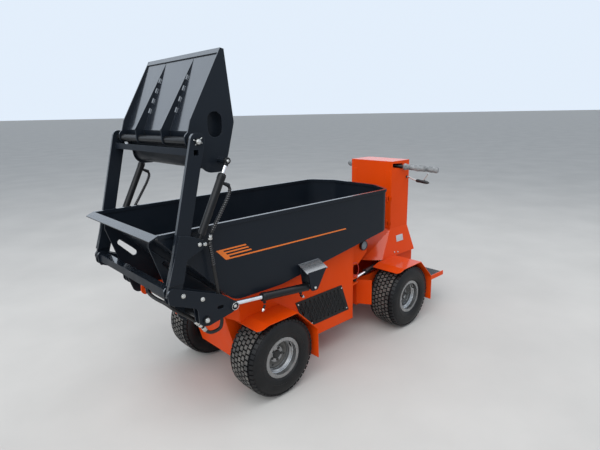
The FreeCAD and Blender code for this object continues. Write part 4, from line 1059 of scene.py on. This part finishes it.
# place of the foot, direction, size, body, sides
FASTENERS = (
    ((560, 425.5, 754), (0, 1, 0), 10, "loader", SIDES),
    ((466, 425.5, 711), (0, 1, 0), 10, "loader", SIDES),
    ((454, 434, 606), (0, 1, 0), 11, "front_module", SIDES),
    ((298, 433.5, 629), (0, 1, 0), 8, "loader", SIDES),
    ((430, 424, 1413), (0, 1, 0), 11, "loader", SIDES),
    ((461, 425.5, 968), (0, 1, 0), 9, "loader", SIDES),
    ((-238, 442, 573), (0, 1, 0), 8, "tub", SIDES),
    ((-1297, 221.5, 497), (0, 1, 0.2), 6, "rear_module", SIDES),
    ((-1339, 222.5, 490), (0, 1, 0.2), 6, "rear_module", SIDES),
    ((-1470, 196.5, 1044), (0, 1, 0), 6, "rear_module", (1,)),
)
SHAFT_END = (430, 421, 1413)
LIFT_PIN_END = (298, 437, 629)


class DUMPER_OT_fasteners(bpy.types.Operator):
    """Add the bolts on the loader, tub and hood"""

    bl_idname = "dumper.fasteners"
    bl_label = "Bolts"

    def execute(self, context):
        meshes = {}
        for foot, way, size, body, sides in FASTENERS:
            mesh = meshes.setdefault(body, bmesh.new())
            for side in sides:
                bolt(mesh, beside(foot, side), (way[0], way[1] * side, way[2]), size)
        for body, mesh in meshes.items():
            piece("bolts_" + body, mesh, "zinc plate", body)
        return {"FINISHED"}


class DUMPER_OT_locking_pins(bpy.types.Operator):
    """Add the split pins on the shovel's shaft and the rings on the lift pins' heads"""

    bl_idname = "dumper.locking_pins"
    bl_label = "Locking pins"

    def execute(self, context):
        mesh = bmesh.new()
        for side in SIDES:
            foot = beside(SHAFT_END, side)
            for turn in (0.35, 2.4):
                leg = [foot + spoke(-20, turn), foot + spoke(16, turn), foot + spoke(24, turn, 3 * side)]
                tube(mesh, leg, mm(1.9), 8)
            middle = beside(LIFT_PIN_END, side)
            turns = [0.4 + FULL_TURN * i / 28 for i in range(28)]
            ring = [middle + spoke(19, turn, 2.0 * side * math.sin(turn)) for turn in turns]
            tube(mesh, [*ring, ring[0]], mm(1.6), 8)
        piece("locking_pins", mesh, "zinc plate", "loader")
        return {"FINISHED"}


# Side grille

SKIN_FACE = 290.3
GRILLE = ((-244, 414), (-603, 414), (-667, 276), (-360, 276), (-285, 352))
GRILLE_BOLTS = ((-674, 268), (-622, 420), (-242, 421), (-352, 268))


class DUMPER_OT_grille_fittings(bpy.types.Operator):
    """Put a black sheet of painted shade behind the side grilles, and bolt them on"""

    bl_idname = "dumper.grille_fittings"
    bl_label = "Grille fittings"

    def execute(self, context):
        shade_sheet = bmesh.new()
        bolts = bmesh.new()
        for side in SIDES:
            levels = ((-0.1, 0), (1.0, 0))
            # a black sheet just behind each grille: painted shade, where the bay behind the grille lies dark
            sheet(shade_sheet, GRILLE, levels, lambda x, z, lift: at(x, (SKIN_FACE + lift) * side, z))
            for x, z in GRILLE_BOLTS:
                bolt(bolts, at(x, (SKIN_FACE + 3) * side, z), (0, side, 0), 5)
        piece("grille_shade_sheet", shade_sheet, "dark opening", "front_module")
        piece("grille_bolts", bolts, "zinc plate", "front_module")
        return {"FINISHED"}


# Filler cap: its middle, and sections as distance from its base and radius

CAP_MIDDLE = (-888, 245, 643)
CAP_RING = ((0, 30), (0, 33.4), (3, 34), (16, 34), (19.6, 32), (19.6, 28.6), (14, 28), (14, 2))
CAP_FACE = ((13.5, 27.8), (16, 27.6), (17.6, 24), (18.2, 12), (18.2, 3))


class DUMPER_OT_filler_cap(bpy.types.Operator):
    """Make the ribbed filler cap"""

    bl_idname = "dumper.filler_cap"
    bl_label = "Filler cap"

    def execute(self, context):
        ring = bmesh.new()
        face = bmesh.new()
        centre = at(*CAP_MIDDLE)
        way = (0, 1, 0)
        turned(ring, CAP_RING, centre, way, 48)
        for i in range(30):
            rib = centre + spoke(33.4, FULL_TURN * i / 30, 3)
            prism(ring, ring_of(4, mm(1.5)), rib, way, mm(13), mm(0.4))
        turned(face, CAP_FACE, centre, way, 40)
        for i in range(12):
            angle = FULL_TURN * i / 12
            tube(face, [centre + spoke(8, angle, 18.2), centre + spoke(23, angle, 17.9)], mm(1.4), 6)
        piece("filler_cap_ring", ring, "black plastic", "front_module", "filler_cap")
        piece("filler_cap_face", face, "cap face", "front_module", "filler_cap")
        return {"FINISHED"}


# Grips and lever

BAR_MIDDLE = (-1320, 78, 1142)
BAR_TIP = (-1526, 415, 1104)
GRIP_LONG = 250
GRIP_RADIUS = 25
GRIP_OVERHANG = 6
GRIP_RINGS = 54
LEVER_BOSS = (-1470, 188.3, 1044)
BOSS = ((0, 10), (5.5, 10), (7, 8.6), (8, 6))
STALK = ((-1470, 194.3, 1044), (-1472, 215, 1041), (-1477, 245, 1029), (-1480, 280, 1020))
TRIGGER = ((-1480, 318, 1018), (-1483, 330, 1030), (-1489, 355, 1068), (-1490, 361, 1076))

# the lever's knob: y, z, radius
KNOB_X = -1480
KNOB = (
    (264, 1021.5, 5), (270, 1021, 11), (284, 1020, 13), (306, 1018, 11),
    (335, 1016, 13), (360, 1014, 11), (374, 1013, 5),
)


class DUMPER_OT_grips(bpy.types.Operator):
    """Wind the padded grips, lumpy where hands have pressed them"""

    bl_idname = "dumper.grips"
    bl_label = "Grips"

    def execute(self, context):
        for side, name in ((1, "left"), (-1, "right")):
            tip = beside(BAR_TIP, side)
            way = (beside(BAR_MIDDLE, side) - tip).normalized()
            points = []
            radii = []
            for i in range(GRIP_RINGS + 1):
                reach = -GRIP_OVERHANG + (GRIP_LONG + GRIP_OVERHANG) * i / GRIP_RINGS
                lump = 1.7 * math.sin(reach / 17) + 1.3 * math.sin(reach / 7.3 + side) + 0.5 * (i % 3)
                shoulder = min(1, 0.62 + 0.38 * min(i, GRIP_RINGS - i) / 2)
                points.append(tip + way * mm(reach))
                radii.append(mm((GRIP_RADIUS - 4.2 + lump) * shoulder))
            mesh = bmesh.new()
            tube(mesh, points, radii, 28)
            piece("grip_" + name, mesh, "grip wrap", "rear_module", "handle_grips", angle=60)
        return {"FINISHED"}


class DUMPER_OT_control_lever(bpy.types.Operator):
    """Make the control lever with its knob and rods"""

    bl_idname = "dumper.control_lever"
    bl_label = "Control lever"

    def execute(self, context):
        rods = bmesh.new()
        knob = bmesh.new()
        turned(knob, BOSS, at(*LEVER_BOSS), (0, 1, 0), 28)
        tube(rods, [at(*point) for point in STALK], mm(5.2), 12)
        tube(rods, [at(*point) for point in TRIGGER], mm(5), 12)
        tube(knob, [at(KNOB_X, y, z) for y, z, radius in KNOB], [mm(radius) for y, z, radius in KNOB], 20)
        piece("lever_rods", rods, "zinc plate", "rear_module", "control_lever")
        piece("lever_knob", knob, "black plastic", "rear_module", "control_lever")
        return {"FINISHED"}


# Tower's door and the hood's blank plate

TOWER_FRONT = -1280
TOWER_HALF = 188
HINGES = (712, 900)
HINGE_MIDDLE = 160
KNUCKLES = ((-26, -9), (-8.6, 8.6), (9, 26))
LEAF = ((-0.012, -0.024), (0.012, -0.024), (0.012, 0.024), (-0.012, 0.024))
DOOR_STRIP = ((134, 676), (184, 676), (184, 1104), (134, 1104))
HOOD_TOP = 670
HOOD_FLARE = 38 / 200

# corner's x and z on the hood's left side
PLATE = ((-1340, 612), (-1424, 612), (-1424, 565), (-1340, 565))


class DUMPER_OT_tower_fittings(bpy.types.Operator):
    """Add the hinges and door strips on the tower's front"""

    bl_idname = "dumper.tower_fittings"
    bl_label = "Tower fittings"

    def execute(self, context):
        hinges = bmesh.new()
        strips = bmesh.new()
        levels = ((0, 0), (1.2, 0), (2.0, 0.8))
        for side in SIDES:
            for z in HINGES:
                for low, high in KNUCKLES:
                    barrel = [(low, 4.6), (low + 1, 5.4), (high - 1, 5.4), (high, 4.6)]
                    turned(hinges, barrel, at(TOWER_FRONT + 7.0, HINGE_MIDDLE * side, z), (0, 0, 1), 20)
                for y in (HINGE_MIDDLE - 13, HINGE_MIDDLE + 13):
                    prism(hinges, LEAF, at(TOWER_FRONT + 1.8, y * side, z), (1, 0, 0), mm(2.2), mm(0.8))
            sheet(strips, DOOR_STRIP, levels, lambda y, z, lift: at(TOWER_FRONT + lift, y * side, z))
        piece("tower_hinges", hinges, "orange enamel", "rear_module")
        piece("door_strips", strips, "orange enamel", "rear_module")
        return {"FINISHED"}


class DUMPER_OT_blank_plate(bpy.types.Operator):
    """Fix the blank plate on the hood's left side"""

    bl_idname = "dumper.blank_plate"
    bl_label = "Blank plate"

    def execute(self, context):
        mesh = bmesh.new()

        def on_flare(x, z, lift):
            return at(x, TOWER_HALF + (HOOD_TOP - z) * HOOD_FLARE + lift, z)

        sheet(mesh, PLATE, ((0.2, 0), (1.6, 0), (2.0, 1.5)), on_flare)
        piece("blank_plate", mesh, "blank plate", "rear_module")
        return {"FINISHED"}


# Retaining wire at the rear edge of the front module

WIRE = (
    (-738, 288, 562), (-741, 288, 530), (-738, 287, 495), (-752, 286, 464), (-780, 285, 460),
    (-804, 285, 482), (-801, 286, 520), (-786, 287, 548), (-760, 288, 560), (-738, 288, 556),
)


class DUMPER_OT_retaining_wire(bpy.types.Operator):
    """Bend the wire at the rear edge of the front module"""

    bl_idname = "dumper.retaining_wire"
    bl_label = "Retaining wire"

    def execute(self, context):
        mesh = bmesh.new()
        tube(mesh, line_of(WIRE), mm(2.4), 10)
        piece("retaining_wire", mesh, "red plastic", "front_module")
        return {"FINISHED"}


# Weld beads: ends of a bead, body

WELDS = (
    ((300, 259.5, 660), (612, 259.5, 940), "tub"),
    ((566, 417.8, 762), (634, 417.8, 772), "loader"),
    ((426, 402, 1382.6), (456, 402, 1382.6), "loader"),
    ((-332, 366, 703), (-190, 366, 703), "tub"),
)
BEAD_RADIUS = 2.6
BEAD_RIPPLE = 0.6
BEAD_PITCH = 3.5


class DUMPER_OT_welds(bpy.types.Operator):
    """Lay the rippled weld beads on the tub and loader"""

    bl_idname = "dumper.welds"
    bl_label = "Welds"

    def execute(self, context):
        meshes = {}
        for a, b, body in WELDS:
            mesh = meshes.setdefault(body, bmesh.new())
            for side in SIDES:
                start = beside(a, side)
                end = beside(b, side)
                count = max(4, int((end - start).length / mm(BEAD_PITCH)))
                points = [between(start, end, i / count) for i in range(count + 1)]
                tube(mesh, points, [mm(BEAD_RADIUS + BEAD_RIPPLE * (i % 2)) for i in range(count + 1)], 8)
        for body, mesh in meshes.items():
            piece("welds_" + body, mesh, "anthracite enamel", body)
        return {"FINISHED"}


class DUMPER_OT_materials(bpy.types.Operator):
    """Give the chassis, tub, loader and rims their finishes"""

    bl_idname = "dumper.materials"
    bl_label = "Materials"

    def execute(self, context):
        for name, members in NODE_MATERIALS.items():
            for member in members.split():
                for slot in frame["nodes"][member].material_slots:
                    slot.material = material(name)
        return {"FINISHED"}


# Stage

CAMERA = {"place": (1457.0, 2145.4, 1522.0), "yaw": -132.95, "pitch": 13.73, "roll": -1.07}
SENSOR_WIDE = 36
FLOOR_HALF = 400
SKY = (0.77, 0.86, 0.97, 1)
SKY_ON_OBJECT = 0.60
SKY_SEEN = 1.0

# name, place, aim, size, watts
LAMPS = (
    ("sky_key", (4.2, 1.6, 6.0), (0, 0, 0.6), 9.0, 560),
    ("sky_fill", (-3.5, 1.0, 4.5), (-0.3, 0, 0.6), 4.0, 50),
)


def world():
    """Overcast sky, plain on the object and pale where the camera, metal or glass shows it."""
    made = bpy.data.worlds.new("overcast")
    made.use_nodes = True
    g = Graph(made.node_tree)
    back = g.tree.nodes["Background"]
    back.inputs["Color"].default_value = SKY
    ray = g.node("ShaderNodeLightPath")
    seen = g.calculate("MAXIMUM", ray["Is Camera Ray"], ray["Is Glossy Ray"])
    seen = g.calculate("MAXIMUM", seen, ray["Is Transmission Ray"])
    g.feed(back.inputs["Strength"], g.remap(seen, 0.0, 1.0, SKY_ON_OBJECT, SKY_SEEN))
    return made


def floor_mesh():
    data = bpy.data.meshes.new("floor")
    mesh = bmesh.new()
    bmesh.ops.create_grid(mesh, x_segments=1, y_segments=1, size=FLOOR_HALF)
    mesh.to_mesh(data)
    mesh.free()
    data.materials.append(material("pale floor"))
    return data


def lamp(name, place, aim, size, watts):
    data = bpy.data.lights.new(name, "AREA")
    data.size = size
    data.energy = watts
    holder = bpy.data.objects.new(name, data)
    holder.location = place
    holder.rotation_mode = "QUATERNION"
    holder.rotation_quaternion = (Vector(aim) - Vector(place)).to_track_quat("-Z", "Y")
    return holder


def camera(lens):
    """The camera of the photograph, from its place and its yaw, pitch and roll."""
    holder = bpy.data.objects.new("camera", bpy.data.cameras.new("camera"))
    holder.data.lens = lens
    holder.data.sensor_width = SENSOR_WIDE
    holder.data.clip_start = 0.05
    holder.data.clip_end = 1000
    yaw, pitch, roll = (math.radians(CAMERA[name]) for name in ("yaw", "pitch", "roll"))
    forward = Vector((math.cos(yaw) * math.cos(pitch), math.sin(yaw) * math.cos(pitch), -math.sin(pitch)))
    level = Vector((math.sin(yaw), -math.cos(yaw), 0))
    upright = level.cross(forward)
    right = level * math.cos(roll) + upright * math.sin(roll)
    up = upright * math.cos(roll) - level * math.sin(roll)
    turn = Matrix((right, up, -forward)).transposed()
    holder.matrix_world = Matrix.Translation(at(*CAMERA["place"])) @ turn.to_4x4()
    return holder


class DUMPER_OT_stage(bpy.types.Operator):
    """Set the floor, soft daylight and the camera at the photo's angle"""

    bl_idname = "dumper.stage"
    bl_label = "Stage"

    def execute(self, context):
        scene = context.scene
        floor = bpy.data.objects.new("floor", floor_mesh())
        scene.collection.objects.link(floor)
        scene.world = world()
        for row in LAMPS:
            scene.collection.objects.link(lamp(*row))
        scene.camera = camera(scene.dumper.lens)
        scene.collection.objects.link(scene.camera)
        scene.view_settings.view_transform = "Standard"
        return {"FINISHED"}


OPERATORS = (
    DUMPER_OT_stage,
    DUMPER_OT_hoses,
    DUMPER_OT_materials,
    DUMPER_OT_tyres,
    DUMPER_OT_wheel_fittings,
    DUMPER_OT_hose_guards,
    DUMPER_OT_hose_fittings,
    DUMPER_OT_cylinder_rods,
    DUMPER_OT_cylinder_glands,
    DUMPER_OT_lift_unions,
    DUMPER_OT_stripes,
    DUMPER_OT_fasteners,
    DUMPER_OT_locking_pins,
    DUMPER_OT_grille_fittings,
    DUMPER_OT_filler_cap,
    DUMPER_OT_grips,
    DUMPER_OT_control_lever,
    DUMPER_OT_tower_fittings,
    DUMPER_OT_blank_plate,
    DUMPER_OT_retaining_wire,
    DUMPER_OT_welds,
)


class DUMPER_PT_panel(bpy.types.Panel):
    bl_label = "Site dumper"
    bl_idname = "DUMPER_PT_panel"
    bl_space_type = "VIEW_3D"
    bl_region_type = "UI"
    bl_category = "Dumper"

    def draw(self, context):
        for name in DumperSettings.__annotations__:
            self.layout.prop(context.scene.dumper, name)
        for step in OPERATORS:
            self.layout.operator(step.bl_idname, text=step.bl_label)


CLASSES = (DumperSettings, *OPERATORS, DUMPER_PT_panel)


def register():
    for item in CLASSES:
        bpy.utils.register_class(item)
    bpy.types.Scene.dumper = bpy.props.PointerProperty(type=DumperSettings)


def unregister():
    del bpy.types.Scene.dumper
    for item in reversed(CLASSES):
        bpy.utils.unregister_class(item)


def main():
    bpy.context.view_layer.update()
    register()
    for step in OPERATORS:
        getattr(bpy.ops.dumper, step.bl_idname.split(".")[1])()


if __name__ == "__main__":
    main()
